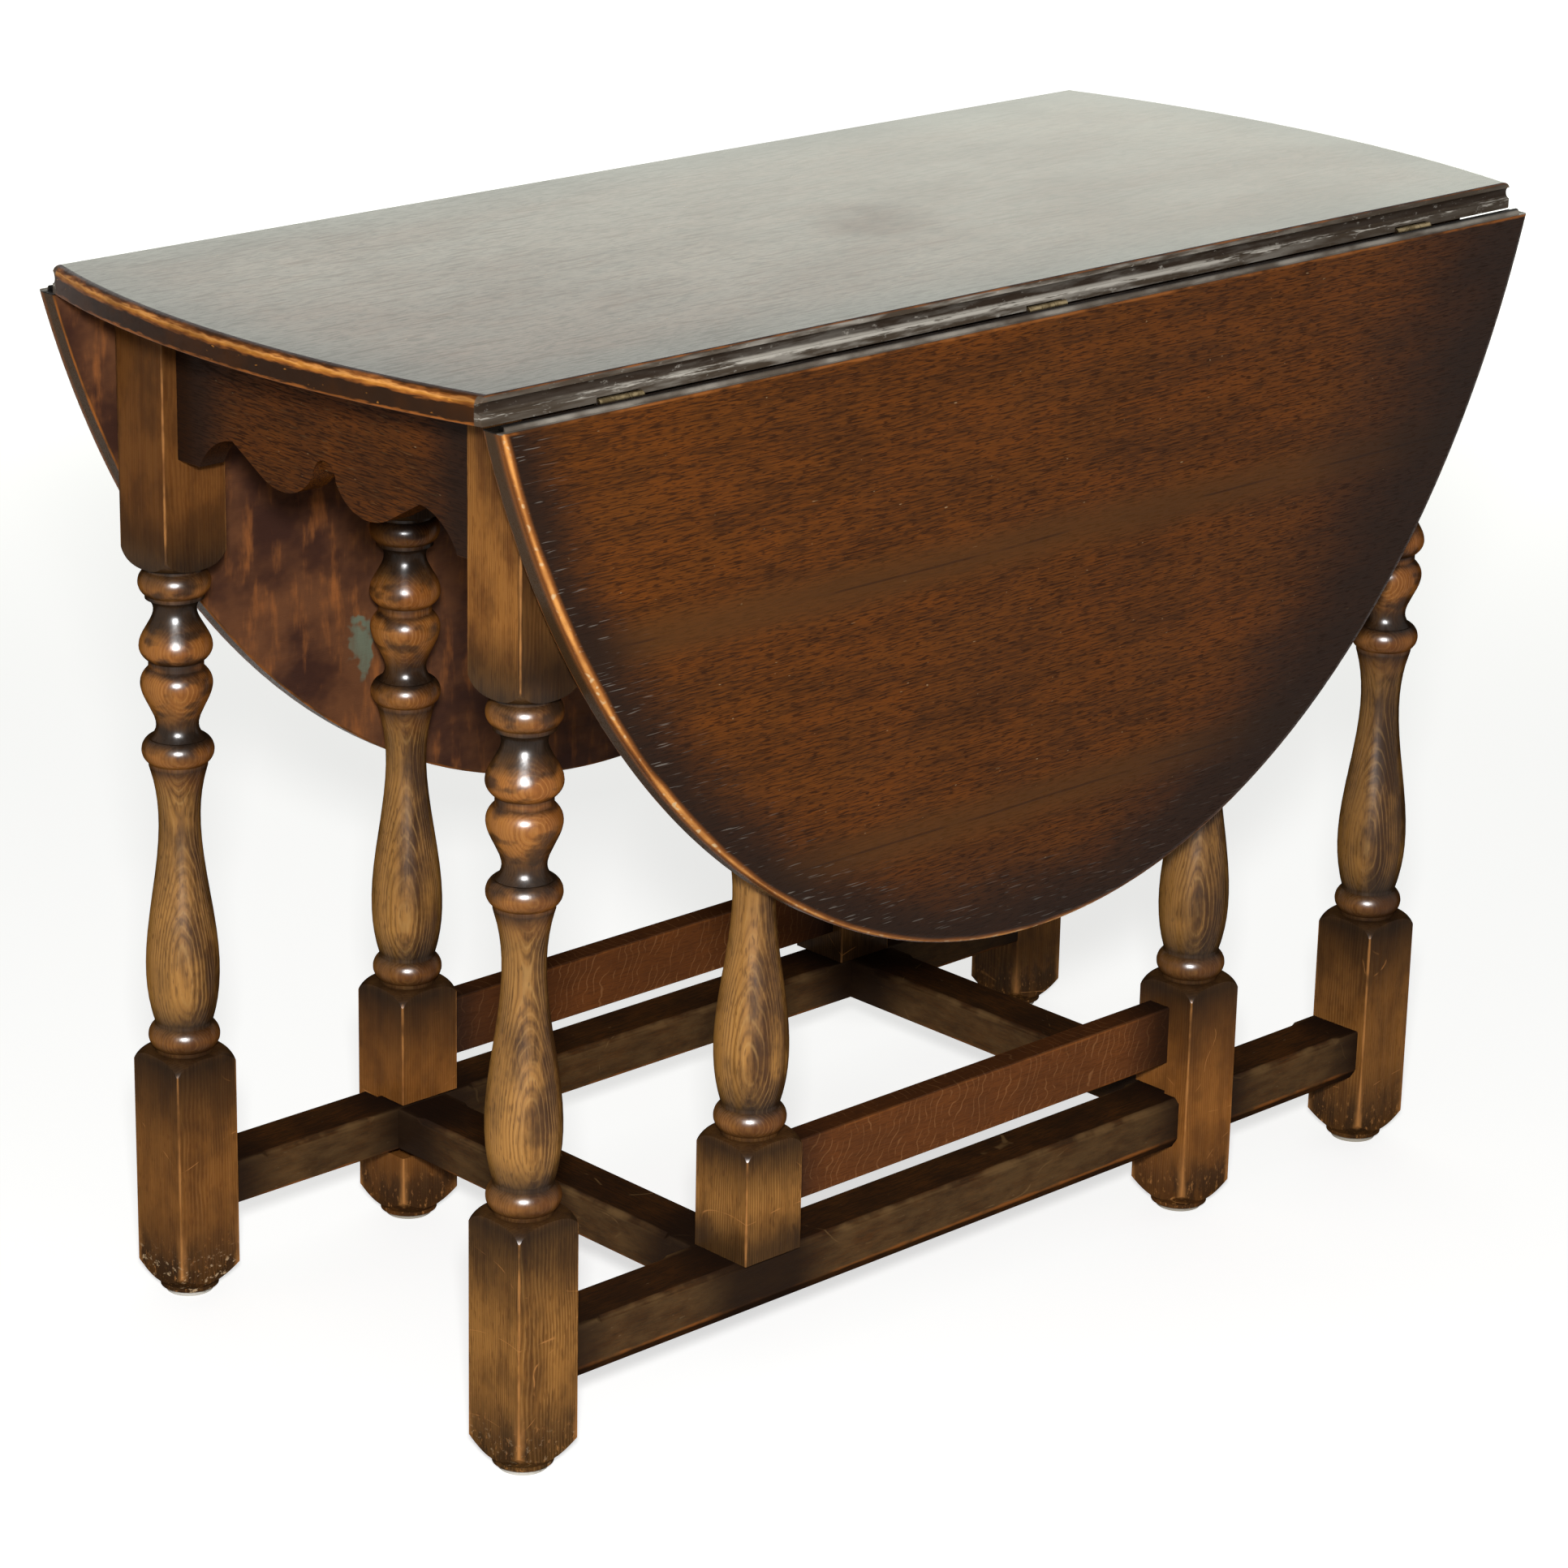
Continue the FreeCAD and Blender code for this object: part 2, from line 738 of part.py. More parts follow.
def stretcher_section():
    """The section of a long stretcher: bevelled at its outer lower edge, planed up towards the inner one."""
    (outer, inner), (low, high) = middle_span(0, s.stretcher_width), middle_span(0, long_stretcher_height)
    lower_edge = low + s.stretcher_drop
    return [
        (outer, lower_edge),
        (outer + s.stretcher_bevel, low),
        (inner - s.stretcher_hollow, low),
        (inner, lower_edge),
        (inner, high),
        (outer, high),
    ]


def stretcher(name, turn):
    """A long stretcher: notched for the gate leg, bored for the peg, mortised for the cross stretchers."""
    length = leg_inner_x * 2
    bar = tenoned_bar(name + "_tenoned", length, stretcher_section(), stretcher_tenon)
    place(bar, 0, -stretcher_y, long_stretcher_middle)
    outer, inner = middle_span(-stretcher_y, s.stretcher_width)
    top = s.stretcher_top
    tools = [
        lap_notch(name + "_lap", stretcher_y, s.stretcher_width, (long_stretcher_bottom, top)),
        pivot_bore(name + "_bore", (top - s.peg_reach - s.mortise_gap, top)),
        stopped_chamfer(name + "_outer_chamfer", (-leg_inner_x, leg_inner_x), -1, outer, top),
    ]
    for index, x in enumerate((-s.cross_x, s.cross_x)):
        tools.append(box(
            f"{name}_cross_mortise_{index}",
            middle_span(x, s.stretcher_tenon_thickness + s.mortise_clearance * 2),
            (inner - s.cross_tenon_length - s.mortise_gap, inner),
            middle_span(stretcher_middle, s.stretcher_tenon_height + s.mortise_clearance * 2),
        ))
    cross_inner = s.cross_x - s.stretcher_width / 2
    cross_outer = s.cross_x + s.stretcher_width / 2
    stretches = ((-leg_inner_x, -cross_outer), (-cross_inner, cross_inner), (cross_outer, leg_inner_x))
    for index, span in enumerate(stretches):
        tools.append(stopped_chamfer(f"{name}_inner_chamfer_{index}", span, 1, inner, top))
    return place(cut(name, bar, tools), turn=turn)


def cross_stretcher(name, x):
    half_length = stretcher_y - s.stretcher_width / 2
    half_width = s.stretcher_width / 2
    half_height = s.stretcher_height / 2
    section = squared(middle_span(0, s.stretcher_width), middle_span(0, s.stretcher_height))
    bar = tenoned_bar(name + "_tenoned", half_length * 2, section, cross_tenon)
    span = (-half_length, half_length)
    tools = [
        stopped_chamfer(f"{name}_{label}_chamfer", span, hand, half_width * hand, half_height)
        for label, hand in (("first", -1), ("second", 1))
    ]
    return place(cut(name, bar, tools), x, 0, stretcher_middle, QUARTER_TURN)


# Gates: a post that turns on two pegs, a lapped leg and two rails between them.


def gate_rail_mortises(name, hand):
    """Mortises in the inner face of a post (hand 1) or a gate leg (hand -1)."""
    return [
        mortise(f"{name}_mortise_{index}", hand, "x", leg_y - gate_rail_y, middle, gate_tenon)
        for index, middle in enumerate((gate_lower_middle, gate_upper_middle))
    ]


def pivot_post(name, form, turn):
    low = s.stretcher_top + s.swing_gap
    high = rail_bottom - s.swing_gap
    blank = common(name + "_blank", leg_stock(name + "_stock", low, high), form)
    tools = gate_rail_mortises(name, 1) + [
        cylinder(name + "_lower_peg_hole", s.peg_radius, 0, 0, (low, low + s.peg_hold)),
        cylinder(name + "_upper_peg_hole", s.peg_radius, 0, 0, (high - s.peg_hold, high)),
    ]
    return place(cut(name, blank, tools), -s.gate_x, -leg_y, 0, turn)


def pivot_pegs(name, turn):
    lower_low = s.stretcher_top - s.peg_reach
    upper_high = rail_bottom + s.peg_reach
    length = s.peg_reach + s.swing_gap + s.peg_hold
    pegs = [
        cylinder(name + "_lower", s.peg_radius, -s.gate_x, -leg_y, (lower_low, lower_low + length)),
        cylinder(name + "_upper", s.peg_radius, -s.gate_x, -leg_y, (upper_high - length, upper_high)),
    ]
    return place(group(name, pegs), turn=turn)


def gate_leg(name, blank, turn):
    """A gate leg half-lapped over the stretcher and, at its top, over the side rail."""
    through = middle_span(0, s.leg_stock)
    lapped = (s.lap_cheek - half_stock, half_stock)
    top = underside - s.gate_top_gap
    lower_lap = (long_stretcher_bottom - s.lap_gap, s.stretcher_top + s.lap_gap)
    tools = gate_rail_mortises(name, -1) + [
        box(name + "_lower_lap", through, lapped, lower_lap),
        box(name + "_upper_lap", through, lapped, (rail_bottom - s.lap_gap, top)),
        box(name + "_top_gap", through, through, (top, underside)),
        nail_hole(name + "_nail_hole"),
    ]
    return place(cut(name, blank, tools), s.gate_x, -leg_y, 0, turn)


def gate_rail(name, middle, turn):
    length = s.gate_x * 2 - s.leg_stock
    section = squared(middle_span(0, s.gate_rail_thickness), middle_span(0, s.gate_rail_height))
    bar = tenoned_bar(name, length, section, gate_tenon)
    return place(bar, 0, -gate_rail_y, middle, turn)


def gate(side, turn, blank, form):
    return [
        pivot_post(f"{side}_pivot_post", form, turn),
        pivot_pegs(f"{side}_pivot_pegs", turn),
        gate_leg(f"{side}_gate_leg", blank, turn),
        gate_rail(f"{side}_gate_lower_rail", gate_lower_middle, turn),
        gate_rail(f"{side}_gate_upper_rail", gate_upper_middle, turn),
        place(glide(f"{side}_gate_glide", s.gate_x, -leg_y, s.gate_lift), turn=turn),
    ]


# Top and leaves: one oval, sawn along the two hinge lines.


def is_oval_edge(edge, height):
    return isinstance(edge.Curve, Part.Ellipse) and abs(edge.CenterOfMass.z - height) < LEVEL


def oval_board(name):
    """The whole oval, its edge rounded on the show face and eased below."""
    body = doc.addObject("PartDesign::Body", name)
    oval = new_sketch(body, name + "_oval", "XY_Plane")
    centre = FreeCAD.Vector()
    long_tip = FreeCAD.Vector(0, s.oval_half_width.value, 0)
    short_tip = FreeCAD.Vector(s.oval_half_length.value, 0, 0)
    oval.addGeometry(Part.Ellipse(long_tip, short_tip, centre))
    oval.exposeInternalGeometry(0)
    oval.addConstraint(Sketcher.Constraint("Coincident", 0, 3, -1, 1))
    oval.addConstraint(Sketcher.Constraint("PointOnObject", 1, 1, -2))
    add_dimension(oval, "Distance", 1, size=s.oval_half_width * 2)
    add_dimension(oval, "Distance", 2, size=s.oval_half_length * 2)
    pad(body, oval, s.top_thickness)
    top = s.top_thickness.value
    round_edges(body, name + "_edge_round", s.edge_round, lambda edge: is_oval_edge(edge, top))
    round_edges(body, name + "_edge_arris", s.edge_arris, lambda edge: is_oval_edge(edge, 0))
    return body


def saw(body, name, hinge_edges):
    """Saw a board along hinge edges, each given by its Y, its nose radius and the side that falls away."""
    sketch = new_sketch(body, name + "_sawn", "YZ_Plane")
    top = s.top_thickness
    for y, nose, hand in hinge_edges:
        nose_y = y - nose * hand
        outside = (s.oval_half_width + s.leg_stock) * hand
        corners = [
            (nose_y, top),
            (nose_y, top * 2),
            (outside, top * 2),
            (outside, -top),
            (y, -top),
            (y, top - nose),
        ]
        outline(sketch, corners, {len(corners) - 1: (nose, -hand)})
    pocket(body, sketch, board_length, symmetric=True)


def edge_circle(sketch, y, radius):
    """A circle on a hinge edge, at the depth of the groove and the tongue."""
    height = s.top_thickness - s.groove_drop
    middle = FreeCAD.Vector(y.value, height.value, 0)
    edge = sketch.addGeometry(Part.Circle(middle, UP, radius.value))
    pin_point(sketch, edge, 3, (y, height))
    add_dimension(sketch, "Radius", edge, size=radius)


def hinge_recesses(name, hand):
    """Recesses for plates, knuckles and screws; hand is 1 in the top and -1 in the leaf."""
    inset = s.knuckle_radius + s.knuckle_clearance
    knuckle_y = shifted(handed_span(hand, ZERO, inset), pin_y)
    plate_y = shifted(handed_span(hand, ZERO, s.hinge_width + s.plate_clearance), pin_y)
    screw_y = pin_y + s.hinge_screw_y * hand
    knuckle_z = (underside, underside + inset - s.pin_drop)
    plate_z = (underside, underside + s.plate_thickness)
    screw_z = (underside, underside + s.screw_length)
    tools = []
    for index, x in enumerate(hinge_places):
        x_span = middle_span(x, s.hinge_length + s.plate_clearance * 2)
        tools.append(box(f"{name}_knuckle_{index}", x_span, knuckle_y, knuckle_z))
        tools.append(box(f"{name}_plate_{index}", x_span, plate_y, plate_z))
        for end, offset in enumerate(hinge_screw_places):
            label = f"{name}_screw_{index}_{end}"
            tools.append(cylinder(label, s.screw_radius, x + offset, screw_y, screw_z))
    return fuse(name, tools)


def top_centre():
    """The fixed board: bowed ends, a nose and a groove on each hinge edge, hinge recesses below."""
    body = oval_board("top_board")
    saw(body, "top_board", [(s.top_half_width * hand, s.nose_round, hand) for hand in (1, -1)])
    grooves = new_sketch(body, "top_board_grooves", "YZ_Plane")
    for hand in (1, -1):
        edge_circle(grooves, s.top_half_width * hand, s.groove_radius)
    pocket(body, grooves, board_length, symmetric=True)
    place(body, z=underside)
    near = hinge_recesses("top_near_recesses", 1)
    far = place(group("top_far_recesses", [near]), turn=HALF_TURN)
    pilot_span = (ZERO, s.pocket_seat + s.pocket_screw_bite)
    pilots = [
        pocket_tool(f"top_pilot_{index}", x, s.pocket_screw_radius, pilot_span)
        for index, x in enumerate(pocket_places)
    ]
    near_pilots = group("top_near_pilots", pilots)
    far_pilots = place(group("top_far_pilots", [near_pilots]), turn=HALF_TURN)
    return cut("top_centre", body, [near, far, near_pilots, far_pilots])


def hang(item, turn):
    """Turn a piece modelled with its leaf raised down to where the leaf hangs."""
    sign = -1 if turn == HALF_TURN else 1
    spin = FreeCAD.Rotation(UP, turn).multiply(FreeCAD.Rotation(ALONG, QUARTER_TURN))
    item.Placement = FreeCAD.Placement(FreeCAD.Vector(), spin)
    bind(item, "Placement.Base.y", (pin_y + pin_z) * sign)
    bind(item, "Placement.Base.z", pin_z - pin_y)
    return item


def leaf(name, turn):
    """A half-oval leaf with a tongue on its hinge edge that closes into the top's groove."""
    edge_y = s.top_half_width + s.leaf_gap
    body = oval_board(name + "_board")
    saw(body, name + "_board", [(-edge_y, s.edge_arris, 1)])
    tongue = new_sketch(body, name + "_tongue", "YZ_Plane")
    edge_circle(tongue, -edge_y, s.groove_radius - s.tongue_clearance)
    pad(body, tongue, (hinge_edge_half - s.edge_round) * 2, symmetric=True)
    place(body, z=underside)
    return hang(cut(name, body, [hinge_recesses(name + "_recesses", -1)]), turn)


# Backflap hinges, modelled with the leaf raised.


def knuckle_spans():
    """The knuckles of a hinge from end to end: the outer two are the top plate's."""
    share = s.hinge_length / KNUCKLES
    start = -(s.hinge_length / 2)
    return [(start + share * index, start + share * (index + 1)) for index in range(KNUCKLES)]


def hinge_plate(name, hand):
    """One flap of a hinge about the pin: hand is 1 for the top's flap and -1 for the leaf's."""
    spans = knuckle_spans()
    outer, inner = (spans[0], spans[-1]), spans[1:-1]
    own, others = (outer, inner) if hand > 0 else (inner, outer)
    play = s.knuckle_play / 2
    inset = s.knuckle_radius + s.knuckle_clearance
    around = (-inset, inset)
    length = middle_span(0, s.hinge_length)
    thick = (s.pin_drop, s.pin_drop + s.plate_thickness)
    solids = [box(name + "_flap", length, handed_span(hand, ZERO, s.hinge_width), thick)]
    for index, span in enumerate(own):
        solids.append(cylinder(f"{name}_barrel_{index}", s.knuckle_radius, ZERO, ZERO, span, ALONG))
    bore_radius = s.pin_radius if hand > 0 else s.pin_radius + s.pin_clearance
    tools = [cylinder(name + "_bore", bore_radius, ZERO, ZERO, length, ALONG)]
    for index, (start, end) in enumerate(others):
        tools.append(box(f"{name}_gap_{index}", (start - play, end + play), around, around))
    for index, x in enumerate(hinge_screw_places):
        tools.append(screw_form(f"{name}_hole_{index}", x, s.hinge_screw_y * hand))
    return cut(name, fuse(name + "_blank", solids), tools)


def screw_form(name, x, y):
    """A countersunk screw that stands on its head at the plate's face."""
    low = s.pin_drop
    head_span = (low, low + s.plate_thickness - s.countersink_land)
    head = cone(name + "_head", s.screw_head_radius, s.screw_radius, x, y, head_span)
    shank = cylinder(name + "_shank", s.screw_radius, x, y, (low, low + s.screw_length))
    return fuse(name, [head, shank])


def copies_on_pins(name, make):
    """Copies of one hinge piece, one on each pin of the near side."""
    items = []
    for index, x in enumerate(hinge_places):
        items.append(place(make(f"{name}_{index}"), x, pin_y, pin_z))
    return group(name, items)


def hinge_screws(hand):
    def make(name):
        places = enumerate(hinge_screw_places)
        return group(name, [screw_form(f"{name}_{end}", x, s.hinge_screw_y * hand) for end, x in places])

    return make


def hinge_pin(name):
    pin = cylinder(name + "_rod", s.pin_radius, ZERO, ZERO, middle_span(0, s.hinge_length), ALONG)
    return group(name, [pin])


def hinges(side, turn):
    top_plates = copies_on_pins(f"{side}_hinge_top_plates", lambda name: hinge_plate(name, 1))
    pins = copies_on_pins(f"{side}_hinge_pins", hinge_pin)
    top_screws = copies_on_pins(f"{side}_hinge_top_screws", hinge_screws(1))
    leaf_plates = copies_on_pins(f"{side}_hinge_leaf_plates", lambda name: hinge_plate(name, -1))
    leaf_screws = copies_on_pins(f"{side}_hinge_leaf_screws", hinge_screws(-1))
    fixed = [place(item, turn=turn) for item in (top_plates, pins, top_screws)]
    return fixed + [hang(leaf_plates, turn), hang(leaf_screws, turn)]


def pocket_screws():
    """The slanted screws that come up through the side rails into the top."""
    head_low = -s.pocket_screw_head_height
    shank_span = (head_low, s.pocket_seat + s.pocket_screw_bite)
    near = []
    for index, x in enumerate(pocket_places):
        head = pocket_tool(f"top_screw_head_{index}", x, s.pocket_screw_head_radius, (head_low, ZERO))
        shank = pocket_tool(f"top_screw_shank_{index}", x, s.pocket_screw_radius, shank_span)
        near.append(fuse(f"top_screw_{index}", [head, shank]))
    near_group = group("near_top_screws", near)
    far_group = place(group("far_top_screws", [near_group]), turn=HALF_TURN)
    return group("top_screws", [near_group, far_group])


def table():
    form = turned_form()
    blank = common("leg_blank", leg_stock("leg_stock", s.glide_height, underside), form)
    pieces = [top_centre()] + corner_legs(blank)
    pieces += [apron(f"{end}_apron", turn) for end, turn in ENDS]
    pieces += [
        cross_stretcher("left_cross_stretcher", -s.cross_x),
        cross_stretcher("right_cross_stretcher", s.cross_x),
        leg_glides(),
        pocket_screws(),
    ]
    for side, turn in SIDES:
        pieces += [side_rail(f"{side}_side_rail", turn), stretcher(f"{side}_stretcher", turn)]
        pieces += gate(side, turn, blank, form)
        pieces += [leaf(f"{side}_leaf", turn)] + hinges(side, turn)
    return pieces


def check(pieces):
    for item in doc.Objects:
        if "Invalid" in item.State or "Error" in item.State:
            raise RuntimeError(f"{item.Name} did not build: {item.State}")
    for item in pieces:
        if item.Shape.isNull() or not item.Shape.isValid():
            raise RuntimeError(f"{item.Label} has no valid shape")


def write(pieces):
    os.makedirs("parts", exist_ok=True)
    for item in pieces:
        item.Shape.exportStep(f"parts/{item.Label}.step")


nodes = table()
doc.recompute()
check(nodes)
write(nodes)
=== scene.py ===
import json
import math
from functools import partial
from typing import NamedTuple

import bpy
from bpy.props import FloatProperty, FloatVectorProperty, PointerProperty
from bpy.types import Operator, Panel, PropertyGroup
from mathutils import Matrix, Vector


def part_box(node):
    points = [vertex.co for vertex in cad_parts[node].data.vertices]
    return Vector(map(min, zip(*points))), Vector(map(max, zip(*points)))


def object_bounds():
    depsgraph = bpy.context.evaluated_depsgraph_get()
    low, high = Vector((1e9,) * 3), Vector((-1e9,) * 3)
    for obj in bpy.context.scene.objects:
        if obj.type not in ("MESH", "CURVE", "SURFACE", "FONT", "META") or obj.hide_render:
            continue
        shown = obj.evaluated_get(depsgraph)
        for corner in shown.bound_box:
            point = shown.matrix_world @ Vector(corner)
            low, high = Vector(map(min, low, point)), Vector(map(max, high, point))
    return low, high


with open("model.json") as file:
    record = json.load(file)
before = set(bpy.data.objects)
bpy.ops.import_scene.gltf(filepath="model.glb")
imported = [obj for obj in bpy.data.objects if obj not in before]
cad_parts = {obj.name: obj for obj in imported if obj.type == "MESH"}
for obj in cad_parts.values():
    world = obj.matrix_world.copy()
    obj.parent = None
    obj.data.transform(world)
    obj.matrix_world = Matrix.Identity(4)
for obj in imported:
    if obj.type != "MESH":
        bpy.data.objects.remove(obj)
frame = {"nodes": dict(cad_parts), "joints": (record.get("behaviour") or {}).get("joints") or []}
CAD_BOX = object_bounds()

bl_info = {
    "name": "Oval gateleg table",
    "version": (1, 0, 0),
    "blender": (4, 5, 0),
    "location": "3D View > Sidebar > Gateleg table",
    "description": "Finishes the pieces of an oval gateleg table and sets up its studio",
    "category": "Object",
}

SIDES = ("near", "far")
ENDS = ("left", "right")
TURNED_KINDS = ("left_leg", "right_leg", "gate_leg", "pivot_post")
TURNED_PIECES = [f"{side}_{kind}" for side in SIDES for kind in TURNED_KINDS]
KEY_LAMP, SPARK_LAMP, REAR_PANEL = "key_lamp", "spark_lamp", "rear_panel"
SEEN_RAYS = ("Is Camera Ray", "Is Glossy Ray", "Is Transmission Ray")
WHITE = (1.0, 1.0, 1.0)
X, Y, Z = range(3)

# Places that the finishes share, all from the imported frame, in metres
TOP_LOW, TOP_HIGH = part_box("top_centre")
LEAF_LOW, LEAF_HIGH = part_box("far_leaf")
LEG_LOW, LEG_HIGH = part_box("far_right_leg")
HINGE = Vector(next(joint["pos_m"] for joint in frame["joints"] if joint["name"] == "far_leaf_hinge"))
OVAL_LENGTH = TOP_HIGH.x
OVAL_WIDTH = HINGE.y + HINGE.z - LEAF_LOW.z
LEG_HALF = (LEG_HIGH.x - LEG_LOW.x) / 2
LEG_X = (LEG_LOW.x + LEG_HIGH.x) / 2
GATE_X = sum(corner.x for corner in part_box("far_pivot_post")) / 2
TABLE_HEIGHT = CAD_BOX[1][Z]

# Depths on the edges: the groove, its lower lip, the leaf's tongue and a stretcher's flat side
GROOVE_MIDDLE = 0.008
GROOVE_LIP = 0.0127
TONGUE = 0.0032
STRETCHER_SIDE = 0.031

# Depths between which a band along an edge of the top fades
TOP_BORDER = (0.005, 0.070)
TOP_FACE = (0.0002, 0.0012)
TOP_CORNER = (0.0004, 0.0014)
TOP_NOSE = (0.0045, 0.0055)
END_BAND = (0.0030, 0.0060)
CHIP_BAND = (0.001, 0.002)
# The groove band carries painted shade
GROOVE_BAND = (0.0020, 0.0036)
LIP_BAND = (0.0006, 0.0024)

# Depths between which a band along an edge of a leaf fades
LEAF_BORDER = (0.008, 0.074)
BOARD_BAND = (0.002, 0.024)
SEAM_BAND = (0.0003, 0.0012)
UNDERSIDE = (0.0004, 0.0014)
EDGE_SIDE = (0.0008, 0.0020)
EDGE_START = (0.0035, 0.0060)
EDGE_ORANGE = (0.0035, 0.0100)
# The bead carries a painted grey highlight, and the gap behind it a painted black shadow
BEAD_SIDE = (0.0004, 0.0012)
BEAD_START = (0.0012, 0.0024)
GAP_SHADOW_START = (0.0050, 0.0068)

# Depths between which a band along an edge of a bar or a ray in it fades
# The band of painted shade on a bar under the overhang of the top
SHADE_UNDER_TOP = (0.004, 0.018)
BAR_SIDE = (0.0004, 0.0012)
RAY_LINE = (0.0001, 0.0007)

# On a leg: the outer side from its middle, painted with shade beside the leaf, the soft arris of the foot,
# the two halves of the grain
OUTER_SIDE = (LEG_HALF - 0.004, LEG_HALF)
FOOT_ARRIS = (0.0, 0.0062)
GRAIN_HALVES = (0.011, -0.011)

# Stretches along the table over which wear changes from the left to the right
GILT_SPAN = (-0.15, 0.32)
WAX_SPAN = (-0.3, 0.4)
BORDER_SPAN = (-0.45, 0.42)
PORES_SPAN = (-0.35, 0.35)

# Marks of use: handled hinge edges, a dull spot on the top, a stain on the underside of a leaf
HANDLED_X, HANDLED_REACH = -0.05, (0.12, 0.42)
SPOT_X, SPOT_Y, SPOT_REACH = 0.028, -0.013, (0.010, 0.075)
STAIN_PLACES = ((X, -0.230, 0.011), (Z, 0.431, 0.021))
STAIN_BORDER = (0.70, 1.1)

# Heights on a leg between which one part or one kind of wear fades into the next
GLIDE_DUST = (0.012, 0.035)
CHIPS_TOP = (0.022, 0.042)
SCUFFS_TOP = (0.010, 0.065)
FOOT_TOP = (0.02, 0.07)
DIRT_TOP = (0.020, 0.075)
SCRATCHES_TOP = (0.14, 0.17)
LOWER_RED_TOP = (0.165, 0.185)
LOWER_BLOCK_TOP = (0.165, 0.195)
ROUND_BOTTOM = (0.175, 0.205)
VASE_TOP = (0.380, 0.410)
BALLS_BOTTOM = (0.390, 0.410)
BALLS_TOP = (0.525, 0.545)
ROUND_TOP = (0.53, 0.56)
UPPER_FADE = (0.620, 0.700)
JOINT_STAIN = (0.006, 0.048)

# Shares of a width: wear along an edge, gold along an edge, shade at a joint, the two parts of a ring
RUBBED_BAND = (0.25, 1.1)
GILT_FRINGE = (0.5, 1.5)
GILT_CROWN, GILT_CROWN_BAND = 0.42, (0.0, 0.46)
JOINT_SHADE = (0.3, 1.0)
PALE_RING = (0.0, 0.18)
DARK_RING = (0.26, 0.5)
SHORT_PORE_LENGTH, SHORT_PORE_WIDTH = 0.5, 0.7

# Shares of the noises in a mix: oak, turned wood (streaks, fibre, clouds), dust and flames
FIGURE_SHARE, FIBRE_SHARE = 0.35, 0.65
TURNED_SHARES = (0.40, 0.14, 0.46)
MIDDLE_DUST, DUSK_SHARE = 0.16, 0.5

# How far the stain lets the wood show at each height of a leg, from black in the grooves to clear
LEG_SHADES = (
    (0.026, 0.45), (0.055, 0.85), (0.085, 1.0), (0.122, 0.82), (0.150, 0.42), (0.178, 0.08),
    (0.188, 0.40), (0.194, 0.75), (0.200, 0.45), (0.2035, 0.05), (0.209, 0.40), (0.228, 1.0),
    (0.380, 0.70), (0.391, 0.10), (0.396, 0.70), (0.403, 0.80), (0.410, 0.05), (0.421, 0.12),
    (0.438, 0.95), (0.456, 1.0), (0.460, 0.10), (0.463, 0.60), (0.466, 0.10), (0.470, 1.0),
    (0.480, 1.0), (0.489, 0.28), (0.496, 0.05), (0.510, 0.04), (0.518, 0.75), (0.531, 0.06),
    (0.552, 0.26), (0.582, 0.92),
)
BALL_SHADE = 1.3
FADED_SHARE = 0.78
# How red the wood is at each height of a leg
LEG_WARMTH = (
    (0.0, 0.15), (0.165, 0.15), (0.178, 0.20), (0.190, 0.55), (0.198, 0.55), (0.206, 0.0), (0.370, 0.0),
    (0.394, 0.65), (0.404, 0.60), (0.414, 0.40), (0.430, 0.60), (0.456, 0.60), (0.466, 0.70), (0.482, 0.65),
    (0.498, 0.30), (0.516, 0.65), (0.526, 0.55), (0.534, 0.20), (0.560, 0.35),
)

# Gloss, roughness, what dulls it, and relief of the finishes
TOP_SHINE, LEAF_SHINE, BAR_SHINE, STRETCHER_SHINE = 0.155, 0.05, 0.05, 0.02
TURNED_SHINE, GLIDE_SHINE = 0.12, 0.1
RIM_FADE = (0.20, 0.60)
TOP_ROUGHNESS = (0.17, 0.21)
LEAF_ROUGHNESS = (0.30, 0.38)
BAR_ROUGHNESS = (0.34, 0.6)
STRETCHER_ROUGHNESS = (0.34, 0.5)
TURNED_ROUGHNESS = (0.24, 0.32)
GLIDE_ROUGHNESS = (0.35, 0.6)
FLOOR_ROUGHNESS = (0.7, 0.8)
DULL_EDGE, DULL_SPOT, DULL_PORES, DULL_METAL = 0.25, 0.16, 0.3, 0.2
PORE_RELIEF, FIBRE_RELIEF, SCUFF_RELIEF = 0.00006, 0.00003, 0.0001

# The slant of the rays across a gate rail, and how far the rings of a leg lean
RAY_SLANT = math.radians(72)
RING_LEAN = 0.006

# The stage: floor, its fade to white, and how the lamps stand to the camera and the table
FLOOR_SIZE = 60.0
FLOOR_FADE = (1.2, 4.5)
KEY_LIFT = 0.25
REAR_DISTANCE, REAR_HEIGHT, REAR_SIZE = 3.6, 0.95, (6.0, 1.7)

# Levels that most of a cloudy noise lies between, and those that stained wood goes dark and light at
CLOUD_LEVELS = (0.3, 0.7)
CLOUD_MIDDLE = 0.5
JITTER_LEVELS = (0.25, 0.75)
GRAIN_LEVELS = (0.36, 0.62)

# Shift of a noise for each seed, and seeds from one turned piece, rail or stretcher to the next
SEED_STEP = (3.7, 5.3, 7.1)
TURNED_SEEDS, RAIL_SEEDS, STRETCHER_SEEDS = 11, 10, 12


class Cloud(NamedTuple):
    """A cloudy noise: the size of its clouds, the levels where they fade in, and how fine they are."""

    size: tuple
    levels: tuple = CLOUD_LEVELS
    detail: float = 2.0
    spread: float = 0.5

    def along(self, axis):
        """The same clouds with their length along one axis and their width across it."""
        length, width = self.size
        return self._replace(size=[length if number == axis else width for number in (X, Y, Z)])


def even(size):
    """The same size along X, Y and Z."""
    return (size, size, size)


def scaled(shares, width):
    """Lengths from shares of a width."""
    return tuple(share * width for share in shares)


